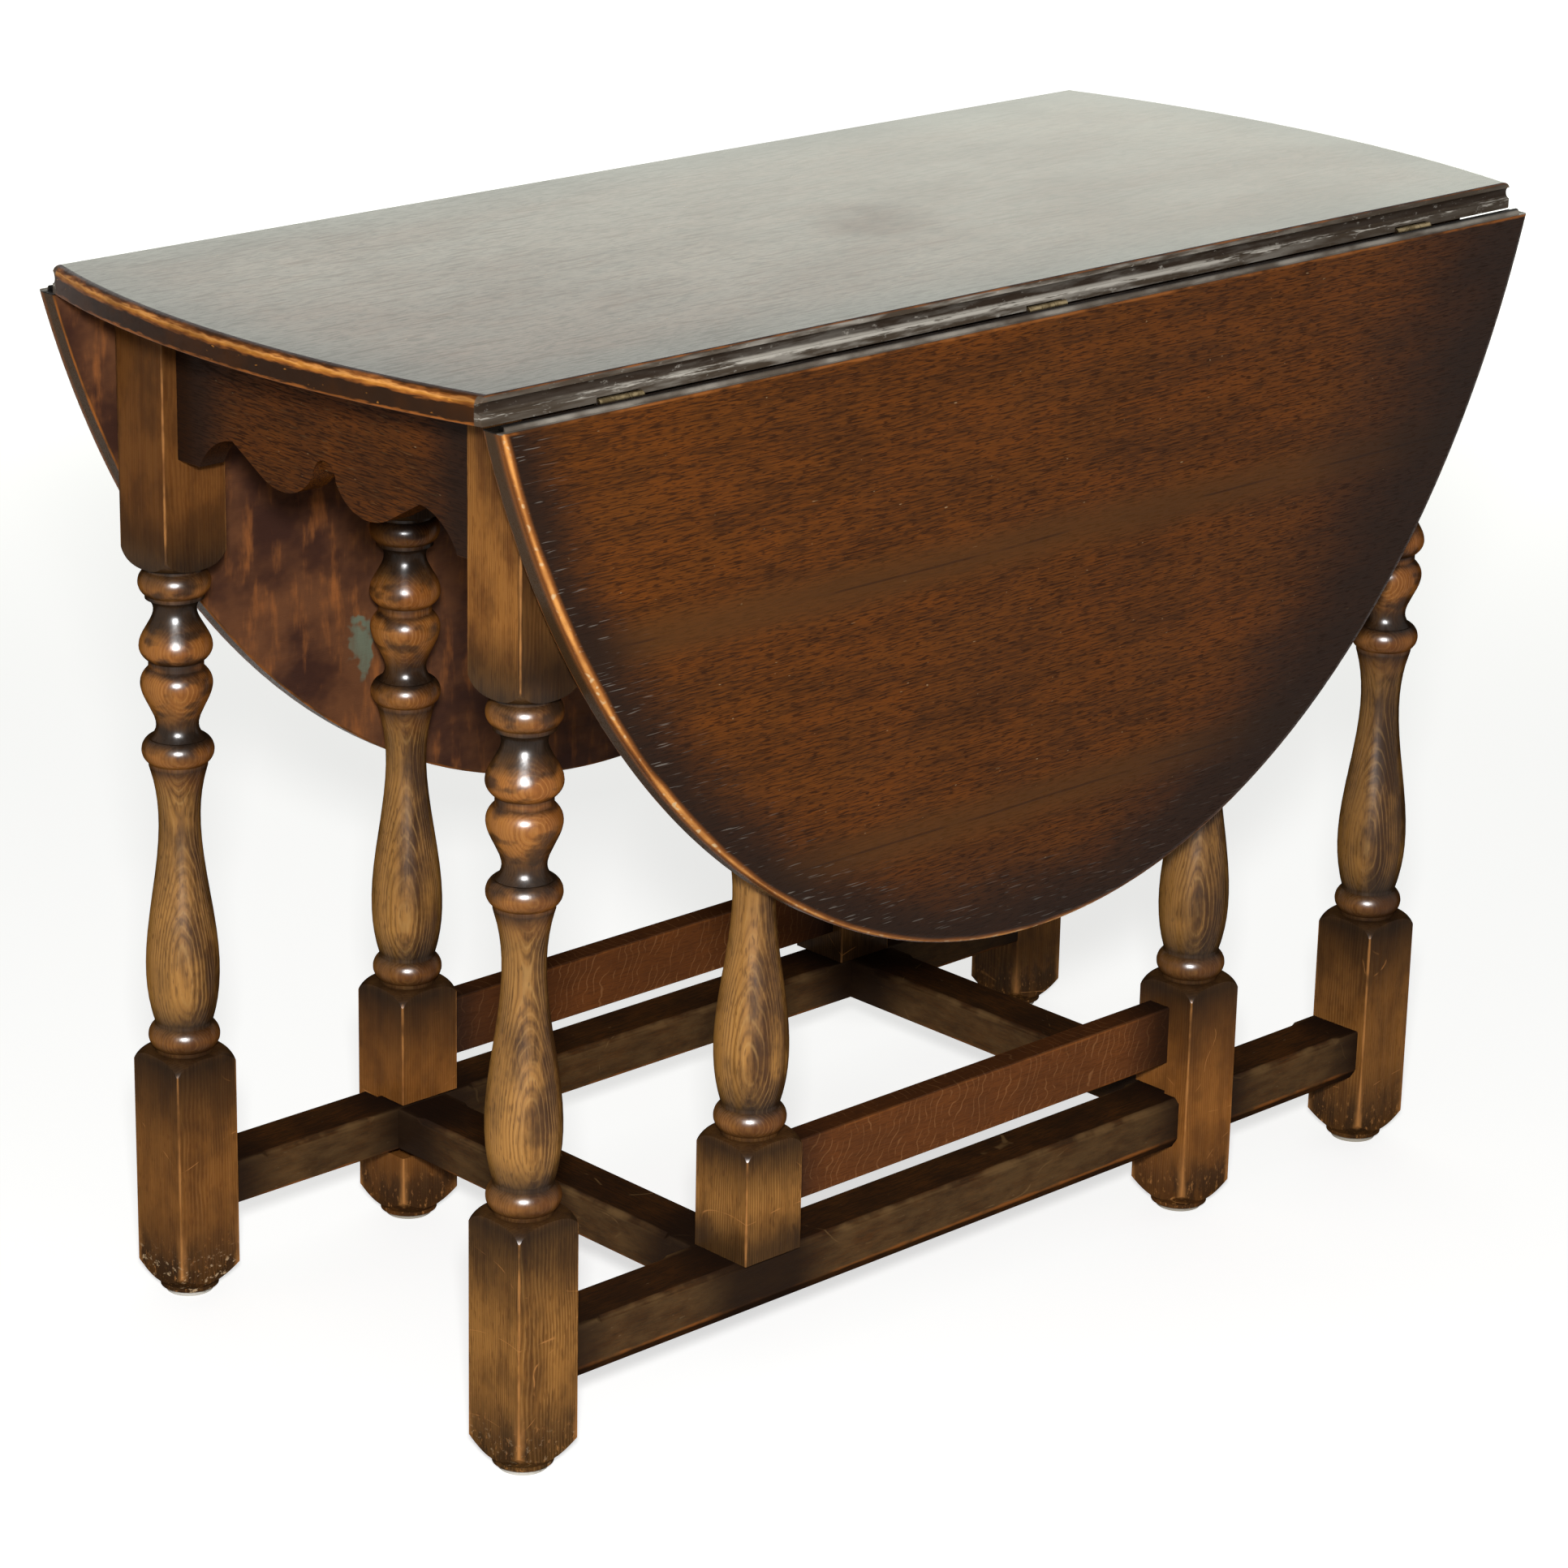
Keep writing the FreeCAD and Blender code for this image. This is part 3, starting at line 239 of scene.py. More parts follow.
# In the oak, as length and width of clouds along the grain
FIGURE = Cloud((0.130, 0.024), detail=3.0)
FIBRE = Cloud((0.020, 0.0011), spread=0.6)
WARM_PATCHES = Cloud((0.060, 0.030), (0.38, 0.64), detail=3.0)
PALE_SPECKS = Cloud((0.006, 0.0016), (0.84, 0.90), detail=0.0)
OPEN_LINES = Cloud((0.034, 0.0026), (0.57, 0.67), detail=1.0)
SEAM_BREAKS = Cloud((0.08, 0.03), (0.40, 0.55))
LEAF_WAX = Cloud((0.014, 0.0009), (0.72, 0.84), detail=0.0)
RAIL_WAX = Cloud((0.012, 0.0010), (0.70, 0.82), detail=0.0)
BAR_SCUFFS = Cloud((0.030, 0.010), detail=5.0, spread=0.65)
# In the gate rails, across, through and along the rays
RAY_BREAKS = Cloud((0.008, 0.020, 0.020), (0.40, 0.56))
# Wear and dirt on any piece
EDGE_BREAKS = Cloud(even(0.022), (0.34, 0.60), detail=3.0)
GILT_BREAKS = Cloud(even(0.022), (0.36, 0.60), detail=3.0)
GILT_DOTS = Cloud(even(0.0045), (0.62, 0.74), detail=0.0)
GRIME = Cloud(even(0.045), (0.30, 0.66), detail=4.0, spread=0.55)
WINDINGS = Cloud((0.160, 0.160, 0.070), spread=0.3)
SCRATCH_LINE = (0.0008, 0.0028)
SCRATCHED_PLACES = Cloud(even(0.014), (0.47, 0.61))
# On the top
END_STAINS = Cloud((0.03, 0.05, 0.05), (0.42, 0.66), detail=3.0)
END_CHIPS = Cloud((0.006, 0.012, 0.004), (0.70, 0.76))
TOP_HANDLING = Cloud((0.05, 0.02, 0.006), (0.40, 0.66), detail=4.0, spread=0.6)
TOP_DUST = Cloud((0.040, 0.006, 0.003), (0.53, 0.63), detail=4.0, spread=0.7)
CHALK_DABS = Cloud((0.009, 0.009, 0.004), (0.60, 0.74), detail=4.0, spread=0.7)
TOP_SMEARS = Cloud((0.12, 0.07, 0.07), detail=3.0)
# On the leaves
LEAF_HANDLING = Cloud((0.04, 0.02, 0.02), (0.35, 0.65), detail=4.0)
LEAF_SMEARS = Cloud((0.09, 0.05, 0.05))
DUSK = Cloud((0.070, 0.070, 0.060), (0.34, 0.64), detail=4.0, spread=0.6)
FLAMES = Cloud((0.014, 0.014, 0.060), (0.3, 0.6), detail=4.0, spread=0.6)
FLAME_LEVELS = (0.74, 1.02)
# In and on the turned pieces
RING_BREAKS = Cloud((0.018, 0.018, 0.050), (0.36, 0.60))
STREAKS = Cloud((0.0060, 0.0060, 0.14), detail=4.0, spread=0.6)
TURNED_FIBRE = Cloud((0.0011, 0.0011, 0.016), detail=1.0)
STAIN_CLOUDS = Cloud((0.022, 0.022, 0.040), (0.32, 0.60), detail=4.0, spread=0.6)
GRUBBY_LEVELS = (0.42, 0.58)
TURNED_PORES = Cloud((0.0012, 0.0012, 0.008), (0.62, 0.76), detail=0.0)
BALL_STAINS = Cloud((0.022, 0.022, 0.012), (0.38, 0.70), detail=3.0)
FOOT_SCUFFS = Cloud((0.0035, 0.0035, 0.007), (0.56, 0.68), detail=5.0, spread=0.7)
FOOT_CHIPS = Cloud((0.006, 0.006, 0.004), (0.58, 0.64), detail=4.0, spread=0.65)
# On the fittings and the floor
TARNISH = Cloud(even(0.006), (0.38, 0.62), detail=4.0, spread=0.6)
GLIDE_DIRT = Cloud((0.006, 0.006, 0.004), (0.48, 0.72), detail=4.0, spread=0.65)
FLOOR_SPECKLE = Cloud(even(0.5))

# A colour and a length that a user can set
Colour = partial(FloatVectorProperty, subtype="COLOR")
Length = partial(FloatProperty, subtype="DISTANCE")


class OakStain(PropertyGroup):
    """Colours and grain of the flat oak pieces."""

    light: Colour(name="Light", description="Oak between the pores", default=(0.124, 0.0368, 0.0052))
    deep: Colour(name="Deep", description="Oak where the stain is heavy", default=(0.060, 0.0190, 0.0036))
    red: Colour(name="Red", description="Warm patches in the oak", default=(0.142, 0.0385, 0.0047))
    russet: Colour(
        name="Russet", description="Reddish oak of the gate rails", default=(0.230, 0.0720, 0.0190)
    )
    olive: Colour(name="Olive", description="Oak beside a board joint", default=(0.082, 0.0310, 0.0075))
    pore: Colour(name="Pore", description="Stain in the open pores", default=(0.024, 0.0090, 0.0040))
    shadow: Colour(
        name="Shading", description="Dark toning at the borders", default=(0.0150, 0.0080, 0.0052)
    )
    # Painted shadow in the gap of the hinge joint
    gap: Colour(
        name="Gap", description="Black dirt inside the hinge joint", default=(0.0030, 0.0026, 0.0020)
    )
    umber: Colour(
        name="Umber", description="Dark polish on the ends of the top", default=(0.027, 0.0125, 0.0062)
    )
    # Also the painted highlight on the bead of a leaf's hinge edge
    grey: Colour(
        name="Grey", description="Handled wood of the hinge edges", default=(0.072, 0.0540, 0.0380)
    )
    drab: Colour(
        name="Drab", description="Grey-brown edges of the leaves", default=(0.054, 0.0285, 0.0115)
    )
    rubbed: Colour(name="Rubbed", description="Edges worn to orange", default=(0.270, 0.0880, 0.0190))
    worn: Colour(name="Worn", description="Edges worn to gold", default=(0.480, 0.1850, 0.0300))
    gilt: Colour(name="Gilt", description="The palest worn edges", default=(0.720, 0.3200, 0.0850))
    bare: Colour(name="Bare", description="Chips down to clean wood", default=(0.620, 0.4200, 0.2200))
    chalk: Colour(name="Chalk", description="Pale scuffs and old wax", default=(0.560, 0.5200, 0.4500))
    scuffed: Colour(
        name="Scuffed", description="Scuffed sides of the bars", default=(0.170, 0.0960, 0.0380)
    )
    ray: Colour(name="Ray", description="Pale rays of quarter-sawn oak", default=(0.360, 0.1550, 0.0560))
    raw: Colour(name="Raw", description="Unpolished underside", default=(0.148, 0.0590, 0.0260))
    dusk: Colour(name="Dusk", description="Dark clouds on the underside", default=(0.050, 0.0210, 0.0140))
    flame: Colour(
        name="Flame", description="Bare streaks on the underside", default=(0.400, 0.1350, 0.0360)
    )
    verdigris: Colour(
        name="Verdigris", description="Old green stain on the underside", default=(0.150, 0.1900, 0.1350)
    )
    pore_length: Length(name="Pore length", description="Length of a pore", default=0.014, min=0.001)
    pore_width: Length(name="Pore width", description="Width of a pore", default=0.0011, min=0.0001)
    ray_gap: Length(
        name="Ray gap", description="From one pale ray to the next", default=0.0066, min=0.001
    )
    board_width: Length(
        name="Board width", description="Width of the glued boards", default=0.1845, min=0.02
    )


class TurnedStain(PropertyGroup):
    """Colours and figure of the turned legs and posts."""

    light: Colour(name="Light", description="Honey wood", default=(0.390, 0.1830, 0.0440))
    deep: Colour(name="Deep", description="Brown streaks", default=(0.080, 0.0310, 0.0085))
    red: Colour(
        name="Red", description="Warm stain on the balls, beads and blocks", default=(0.270, 0.0850, 0.0150)
    )
    # Also the colour of the painted shade beside the leaf
    groove: Colour(
        name="Groove", description="Stain left in the grooves", default=(0.0150, 0.0095, 0.0062)
    )
    ring: Colour(name="Ring", description="Pale growth rings", default=(0.480, 0.2600, 0.0800))
    worn: Colour(name="Worn", description="Rubbed corners of the blocks", default=(0.460, 0.2000, 0.0580))
    bare: Colour(
        name="Bare", description="Chips on the feet down to clean wood", default=(0.560, 0.3900, 0.2200)
    )
    ring_width: Length(name="Ring width", description="Growth in one year", default=0.0018, min=0.0005)
    heart_distance: Length(
        name="Heart distance", description="From the leg to the heart of the tree", default=0.075, min=0.0
    )


class Fittings(PropertyGroup):
    """Colours of the hinges, screws and glides."""

    brass: Colour(name="Brass", description="Rubbed brass", default=(0.34, 0.26, 0.14))
    tarnish: Colour(name="Tarnish", description="Dull brass", default=(0.16, 0.115, 0.055))
    steel: Colour(name="Steel", description="Screws and pins", default=(0.42, 0.40, 0.37))
    rust: Colour(name="Rust", description="Old rust on the steel", default=(0.13, 0.065, 0.035))
    glide: Colour(name="Glide", description="Nylon of the glides", default=(0.62, 0.59, 0.53))
    dirt: Colour(name="Dirt", description="Dirt on the glides", default=(0.30, 0.26, 0.20))


class Studio(PropertyGroup):
    """The camera, the lamps and the floor."""

    camera_place: FloatVectorProperty(
        name="Camera", description="Place of the camera", subtype="TRANSLATION", unit="LENGTH",
        default=(-2.286249, -2.364432, 1.474855),
    )
    yaw: FloatProperty(
        name="Yaw", description="Turn of the camera from +Y to +X", subtype="ANGLE", default=0.764
    )
    pitch: FloatProperty(
        name="Pitch", description="Tilt of the camera below level", subtype="ANGLE", default=0.335
    )
    roll: FloatProperty(
        name="Roll", description="Lean of the camera", subtype="ANGLE", default=0.021
    )
    lens: FloatProperty(
        name="Lens", description="Focal length for a 36 mm sensor, in millimetres", default=111.76, min=1.0
    )
    key_power: FloatProperty(
        name="Key", description="Lamp above the camera", subtype="POWER", default=112.0, min=0.0
    )
    key_size: Length(name="Key size", description="Width of the lamp above the camera", default=0.24)
    spark_power: FloatProperty(
        name="Spark", description="Lamp that only makes highlights on turned pieces", subtype="POWER",
        default=1500.0, min=0.0,
    )
    spark_size: Length(name="Spark size", description="Width of the highlight lamp", default=0.9)
    rear_power: FloatProperty(
        name="Rear panel", description="Wide panel behind the table", subtype="POWER", default=40.0, min=0.0
    )
    rear_tint: Colour(
        name="Rear tint", description="Colour of the panel behind the table", default=(0.95, 1.0, 0.80)
    )
    ambient: FloatProperty(
        name="Ambient", description="Level of the room's own light", default=0.20, min=0.0
    )
    floor_colour: Colour(name="Floor", description="Pale floor", default=(0.62, 0.62, 0.61))
    floor_glow: FloatProperty(
        name="Floor white", description="White that the floor shows near the table beside its lit colour",
        default=0.64, min=0.0,
    )
    floor_far_glow: FloatProperty(
        name="Far floor white", description="White that the far floor shows beside its lit colour",
        default=1.0, min=0.0,
    )


class Steps:
    """Small steps in a tree of shader nodes, which hand on sockets."""

    def __init__(self, tree):
        self.tree = tree

    def node(self, kind):
        return self.tree.nodes.new(kind)

    def feed(self, socket, value):
        """Links a socket to a step, or sets it to a plain number or colour."""
        if isinstance(value, bpy.types.NodeSocket):
            self.tree.links.new(value, socket)
        elif socket.type == "RGBA":
            socket.default_value = (*value, 1.0)
        else:
            socket.default_value = value

    def split(self, vector):
        node = self.node("ShaderNodeSeparateXYZ")
        self.feed(node.inputs[0], vector)
        return tuple(node.outputs)

    def join(self, x, y, z):
        node = self.node("ShaderNodeCombineXYZ")
        for socket, value in zip(node.inputs, (x, y, z)):
            self.feed(socket, value)
        return node.outputs[0]

    def math(self, operation, *values):
        node = self.node("ShaderNodeMath")
        node.operation = operation
        for socket, value in zip(node.inputs, values):
            self.feed(socket, value)
        return node.outputs[0]

    def chain(self, operation, values):
        """Takes the values together, one after the other, by one operation."""
        total, *others = values
        for value in others:
            total = self.math(operation, total, value)
        return total

    def add(self, *values):
        return self.chain("ADD", values)

    def both(self, *values):
        return self.chain("MULTIPLY", values)

    def either(self, *values):
        return self.chain("MAXIMUM", values)

    def less(self, value, taken):
        return self.math("SUBTRACT", value, taken)

    def over(self, value, divisor):
        return self.math("DIVIDE", value, divisor)

    def apart(self, value, middle):
        """Distance of a value from a middle."""
        return self.math("ABSOLUTE", self.less(value, middle))

    def length(self, first, second):
        """Length of the line that goes so far along one axis and so far along another."""
        return self.math("SQRT", self.add(self.both(first, first), self.both(second, second)))

    def rise(self, value, span, first=0.0, last=1.0):
        """Goes smoothly from first to last while the value goes through a span."""
        node = self.node("ShaderNodeMapRange")
        node.interpolation_type = "SMOOTHSTEP"
        for name, number in zip(("Value", "From Min", "From Max", "To Min", "To Max"),
                                (value, *span, first, last)):
            self.feed(node.inputs[name], number)
        return node.outputs["Result"]

    def fall(self, value, span):
        """Goes smoothly from 1 to 0 while the value goes through a span."""
        return self.rise(value, span, 1.0, 0.0)

    def fade(self, share, first, last):
        """Goes smoothly from first to last while a share goes from 0 to 1."""
        return self.rise(share, (0.0, 1.0), first, last)

    def seen(self):
        """1 for what the camera sees straight, in a reflection or through something, else 0."""
        rays = self.node("ShaderNodeLightPath")
        return self.either(*(rays.outputs[name] for name in SEEN_RAYS))


class Finish(Steps):
    """A procedural finish in the coordinates of its piece."""

    def __init__(self, name):
        self.material = bpy.data.materials.new(name)
        self.material.use_nodes = True
        super().__init__(self.material.node_tree)
        self.shader = self.tree.nodes["Principled BSDF"]
        self.place = self.node("ShaderNodeTexCoord").outputs["Object"]
        self.xyz = self.split(self.place)

    def mottle(self, cloud, seed, place=None):
        """Cloudy noise, about 0.2 to 0.8."""
        mapping = self.node("ShaderNodeMapping")
        self.feed(mapping.inputs["Vector"], place or self.place)
        mapping.inputs["Location"].default_value = [seed * step for step in SEED_STEP]
        mapping.inputs["Scale"].default_value = [1 / length for length in cloud.size]
        noise = self.node("ShaderNodeTexNoise")
        self.feed(noise.inputs["Vector"], mapping.outputs[0])
        noise.inputs["Scale"].default_value = 1.0
        noise.inputs["Detail"].default_value = cloud.detail
        noise.inputs["Roughness"].default_value = cloud.spread
        return noise.outputs["Fac"]

    def patches(self, cloud, seed, first=0.0, last=1.0, place=None):
        """Goes from first to last where the clouds fade in."""
        return self.rise(self.mottle(cloud, seed, place), cloud.levels, first, last)

    def jitter(self, size, seed, amount):
        """A small plus or minus length, to make a border uneven."""
        return self.rise(self.mottle(Cloud(size), seed), JITTER_LEVELS, -amount, amount)

    def blend(self, factor, under, over):
        node = self.node("ShaderNodeMix")
        node.data_type = "RGBA"
        colours = [socket for socket in node.inputs if socket.type == "RGBA"]
        for socket, value in zip((node.inputs[0], *colours), (factor, under, over)):
            self.feed(socket, value)
        return next(socket for socket in node.outputs if socket.type == "RGBA")

    def cover(self, under, over, *masks, strength):
        """Lays a colour over another where all masks show, at some strength."""
        return self.blend(self.both(*masks, strength), under, over)

    def ramp(self, value, stops, length):
        """Grey level or colour along a list of stops, each with its place in metres."""
        node = self.node("ShaderNodeValToRGB")
        self.feed(node.inputs[0], self.over(value, length))
        elements = node.color_ramp.elements
        while len(elements) < len(stops):
            elements.new(1.0)
        for element, (place, tone) in zip(elements, stops):
            element.position = place / length
            element.color = (*even(tone), 1.0) if isinstance(tone, float) else (*tone, 1.0)
        return node.outputs[0]

    def shine(self, level, share=1.0, rimless=True):
        """Sets the strength of the gloss, over a share of the surface, and without a pale rim."""
        socket = self.shader.inputs["Specular IOR Level"]
        socket.default_value = level
        if rimless:
            facing = self.node("ShaderNodeLayerWeight").outputs["Facing"]
            share = self.both(self.fall(facing, RIM_FADE), share)
        if isinstance(share, bpy.types.NodeSocket):
            self.feed(socket, self.both(share, level))

    def dress(self, colour, roughness, height=None, relief=0.0):
        """Gives the shader its colour, its roughness and, through a height from 0 to 1, its relief."""
        self.feed(self.shader.inputs["Base Color"], colour)
        self.feed(self.shader.inputs["Roughness"], roughness)
        if height is not None:
            bump = self.node("ShaderNodeBump")
            bump.inputs["Strength"].default_value = 1.0
            bump.inputs["Distance"].default_value = relief
            self.feed(bump.inputs["Height"], height)
            self.feed(self.shader.inputs["Normal"], bump.outputs[0])
        return self.material


def oak_grain(finish, oak, along, seed):
    """Colour of stained oak whose grain runs along one axis, and its pores from 0 to 1."""
    long_pores = Cloud((oak.pore_length, oak.pore_width), levels=(0.53, 0.65), detail=1.0)
    short_size = (oak.pore_length * SHORT_PORE_LENGTH, oak.pore_width * SHORT_PORE_WIDTH)
    short_pores = Cloud(short_size, levels=(0.60, 0.72), detail=0.0)
    figure = finish.mottle(FIGURE.along(along), seed)
    fibre = finish.mottle(FIBRE.along(along), seed + 1)
    pores = finish.either(
        finish.patches(long_pores.along(along), seed + 2),
        finish.patches(short_pores.along(along), seed + 3),
    )
    warm = finish.patches(WARM_PATCHES.along(along), seed + 4)
    mix = finish.add(finish.both(figure, FIGURE_SHARE), finish.both(fibre, FIBRE_SHARE))
    tone = finish.rise(mix, GRAIN_LEVELS)
    colour = finish.blend(tone, oak.deep, oak.light)
    colour = finish.cover(colour, oak.red, warm, tone, strength=0.7)
    colour = finish.cover(colour, oak.pore, pores, strength=0.8)
    specks = finish.patches(PALE_SPECKS.along(along), seed + 5)
    colour = finish.cover(colour, oak.bare, specks, strength=0.4)
    return colour, pores


def dress_oak(finish, colour, roughness, pores):
    """Dresses a piece of oak, with its pores sunk a little."""
    return finish.dress(colour, roughness, finish.less(1.0, pores), PORE_RELIEF)


def oval_depth(finish, along, across):
    """Distance inwards from the edge of the open oval."""
    share_x = finish.over(along, OVAL_LENGTH)
    share_y = finish.over(across, OVAL_WIDTH)
    radius = finish.length(share_x, share_y)
    slope = finish.length(finish.over(share_x, OVAL_LENGTH), finish.over(share_y, OVAL_WIDTH))
    return finish.over(finish.both(finish.less(1.0, radius), radius), slope)


def arris_depth(finish, low, high):
    """Distance from a box's nearest edge, for points on its faces."""
    middle = (low + high) / 2
    depths = []
    for axis in (X, Y, Z):
        from_middle = finish.apart(finish.xyz[axis], middle[axis])
        depths.append(finish.less(high[axis] - middle[axis], from_middle))
    first, second, third = depths
    lesser = finish.math("MINIMUM", first, second)
    greater = finish.either(first, second)
    return finish.either(lesser, finish.math("MINIMUM", greater, third))


def rubbed(finish, colour, depth, width, seed, tone, strength=1.0):
    """Wears a colour through along an edge, softly and a little unevenly."""
    uneven = finish.add(depth, finish.jitter(even(0.025), seed, amount=width * 0.3))
    patchy = finish.patches(EDGE_BREAKS, seed + 1, first=0.15)
    edge = finish.fall(uneven, scaled(RUBBED_BAND, width))
    return finish.cover(colour, tone, edge, patchy, strength=strength)


def gilded(finish, oak, colour, depth, width, seed, strength):
    """Wears an edge from brown through orange to pale gold at its crown."""
    uneven = finish.add(depth, finish.jitter(even(0.060), seed, amount=width * 0.2))
    fringe = finish.fall(uneven, scaled(GILT_FRINGE, width))
    colour = finish.cover(colour, oak.rubbed, fringe, strength=strength)
    crown = finish.fall(finish.apart(uneven, width * GILT_CROWN), scaled(GILT_CROWN_BAND, width))
    thin = finish.patches(GILT_BREAKS, seed + 2, first=0.45, last=0.95)
    colour = finish.cover(colour, oak.gilt, crown, thin, strength=strength)
    dots = finish.patches(GILT_DOTS, seed + 1)
    return finish.cover(colour, oak.bare, crown, dots, strength=strength)


def grimed(finish, oak, colour, seed, amount):
    """Uneven dirt and dark polish over a colour."""
    dirt = finish.patches(GRIME, seed, first=amount * 0.45, last=amount)
    return finish.blend(dirt, colour, oak.shadow)


def scratched(finish, colour, seed, tone, strength):
    """Thin wandering scratches, in places only."""
    line = finish.fall(finish.apart(finish.mottle(WINDINGS, seed), CLOUD_MIDDLE), SCRATCH_LINE)
    places = finish.patches(SCRATCHED_PLACES, seed + 1)
    return finish.cover(colour, tone, line, places, strength=strength)


def dark_joints(finish, oak, colour, along, joints, reach):
    """Darkens a bar where other pieces meet it."""
    for joint in joints:
        near = finish.fall(finish.apart(finish.xyz[along], joint), scaled(JOINT_SHADE, reach))
        colour = finish.cover(colour, oak.shadow, near, strength=0.88)
    return colour


def top_ends(finish, oak, colour, rim, below):
    """Bowed ends of the top: gold under the upper edge, dark polish below, small chips."""
    tones = (
        (0.0, oak.umber), (0.0010, oak.deep), (0.0022, oak.rubbed), (0.0034, oak.gilt), (0.0046, oak.worn),
        (0.0060, oak.rubbed), (0.0076, oak.umber), (0.0168, oak.umber), (0.0180, oak.rubbed),
    )
    feathered = finish.jitter((0.009, 0.012, 0.0016), seed=26.0, amount=0.0009)
    uneven = finish.add(below, finish.jitter(even(0.06), seed=2.0, amount=0.0007), feathered)
    end = finish.ramp(uneven, tones, TOP_HIGH.z - TOP_LOW.z)
    end = finish.blend(finish.patches(END_STAINS, seed=10.0, last=0.55), end, oak.deep)
    colour = finish.blend(finish.fall(rim, END_BAND), colour, end)
    chips = finish.patches(END_CHIPS, seed=3.0)
    return finish.cover(colour, oak.worn, chips, finish.fall(rim, CHIP_BAND), strength=0.8)


def top_hinge_edge(finish, oak, colour, hinge_edge, below):
    """Hinge edges of the top: grey from handling, with painted shade in the groove, a chalky lip and dabs
    of wax.
    """
    middle = finish.fall(finish.apart(finish.xyz[X], HANDLED_X), HANDLED_REACH)
    palest = finish.fade(middle, first=0.10, last=0.55)
    handled = finish.both(finish.patches(TOP_HANDLING, seed=9.0), palest)
    nose = finish.blend(handled, oak.grey, oak.chalk)
    colour = finish.cover(colour, nose, hinge_edge, strength=0.9)
    # Painted shade in the groove
    groove = finish.fall(finish.apart(below, GROOVE_MIDDLE), GROOVE_BAND)
    colour = finish.cover(colour, oak.shadow, hinge_edge, groove, strength=0.7)
    lip = finish.fall(finish.apart(below, GROOVE_LIP), LIP_BAND)
    dust = finish.add(finish.mottle(TOP_DUST, seed=4.0), finish.both(middle, MIDDLE_DUST))
    chalky = finish.rise(dust, TOP_DUST.levels)
    colour = finish.cover(colour, oak.chalk, hinge_edge, lip, chalky, strength=0.9)
    dabs = finish.patches(CHALK_DABS, seed=5.0)
    return finish.cover(colour, oak.chalk, hinge_edge, dabs, strength=0.55)


def top_finish(oak):
    """Dark satin oak with gold rubbed ends and chalky hinge edges."""
    finish = Finish("top_oak")
    x, y, z = finish.xyz
    colour, pores = oak_grain(finish, oak, X, seed=1.0)
    rim = oval_depth(finish, x, y)
    below = finish.less(TOP_HIGH.z, z)
    hinge_side = finish.less(TOP_HIGH.y, finish.math("ABSOLUTE", y))
    border = finish.fall(finish.math("MINIMUM", rim, hinge_side), TOP_BORDER)
    colour = finish.cover(colour, oak.shadow, border, strength=0.85)
    colour = top_ends(finish, oak, colour, rim, below)
    hinge_edge = finish.both(finish.fall(hinge_side, TOP_NOSE), finish.rise(below, TOP_CORNER))
    colour = top_hinge_edge(finish, oak, colour, hinge_edge, below)
    arris = finish.either(hinge_side, below)
    colour = rubbed(finish, colour, arris, width=0.0012, seed=6.0, tone=oak.rubbed)
    smear = finish.mottle(TOP_SMEARS, seed=7.0)
    spot = finish.fall(finish.length(finish.add(x, -SPOT_X), finish.add(y, -SPOT_Y)), SPOT_REACH)
    satin = finish.rise(smear, CLOUD_LEVELS, *TOP_ROUGHNESS)
    roughness = finish.add(satin, finish.both(hinge_edge, DULL_EDGE), finish.both(spot, smear, DULL_SPOT))
    face = finish.rise(below, TOP_FACE, first=1.0, last=0.2)
    lines = finish.patches(OPEN_LINES.along(X), seed=8.0)
    openness = finish.rise(x, PORES_SPAN, first=0.46, last=0.20)
    open_grain = finish.both(finish.either(lines, pores), openness)
    finish.shine(TOP_SHINE, finish.both(face, finish.less(1.0, open_grain)), rimless=False)
    return finish.dress(colour, roughness)


def leaf_boards(finish, oak, colour, across):
    """Olive wood beside the joints of a leaf's boards, with a thin broken seam."""
    wavering = finish.add(across, finish.jitter((0.09, 0.02, 0.02), seed=12.0, amount=0.0006))
    joint = finish.math("PINGPONG", wavering, oak.board_width / 2)
    colour = finish.cover(colour, oak.olive, finish.fall(joint, BOARD_BAND), strength=0.8)
    broken = finish.patches(SEAM_BREAKS.along(X), seed=22.0)
    return finish.cover(colour, oak.pore, finish.fall(joint, SEAM_BAND), broken, strength=0.6)


def leaf_border(finish, oak, colour, rim):
    """Dark toning along the oval edge, wider to the right, with flecks of wax to the left."""
    x = finish.xyz[X]
    narrowed = finish.both(rim, finish.rise(x, BORDER_SPAN, first=1.35, last=0.38))
    uneven = finish.add(narrowed, finish.jitter((0.12, 0.06, 0.06), seed=13.0, amount=0.008))
    border = finish.fall(uneven, LEAF_BORDER)
    colour = finish.cover(colour, oak.shadow, border, strength=0.92)
    wax = finish.patches(LEAF_WAX.along(X), seed=14.0)
    return finish.cover(colour, oak.chalk, border, wax, finish.fall(x, WAX_SPAN), strength=0.20)


def leaf_underside(finish, oak):
    """Unpolished underside: brown with dark clouds and flames of bare wood, and one old stain."""
    dusk = finish.mottle(DUSK, seed=17.0)
    flame = finish.mottle(FLAMES, seed=18.0)
    colour = finish.blend(finish.rise(dusk, DUSK.levels), oak.dusk, oak.raw)
    lively = finish.rise(finish.add(flame, finish.both(dusk, DUSK_SHARE)), FLAME_LEVELS)
    colour = finish.cover(colour, oak.flame, lively, strength=0.7)
    from_stain = []
    for axis, middle, radius in STAIN_PLACES:
        from_stain.append(finish.over(finish.add(finish.xyz[axis], -middle), radius))
    ragged = finish.jitter(even(0.012), seed=19.0, amount=0.5)
    stain = finish.fall(finish.add(finish.length(*from_stain), ragged), STAIN_BORDER)
    soaked = finish.rise(flame, FLAMES.levels, first=0.5, last=0.9)
    return finish.blend(finish.both(stain, soaked), colour, oak.verdigris)


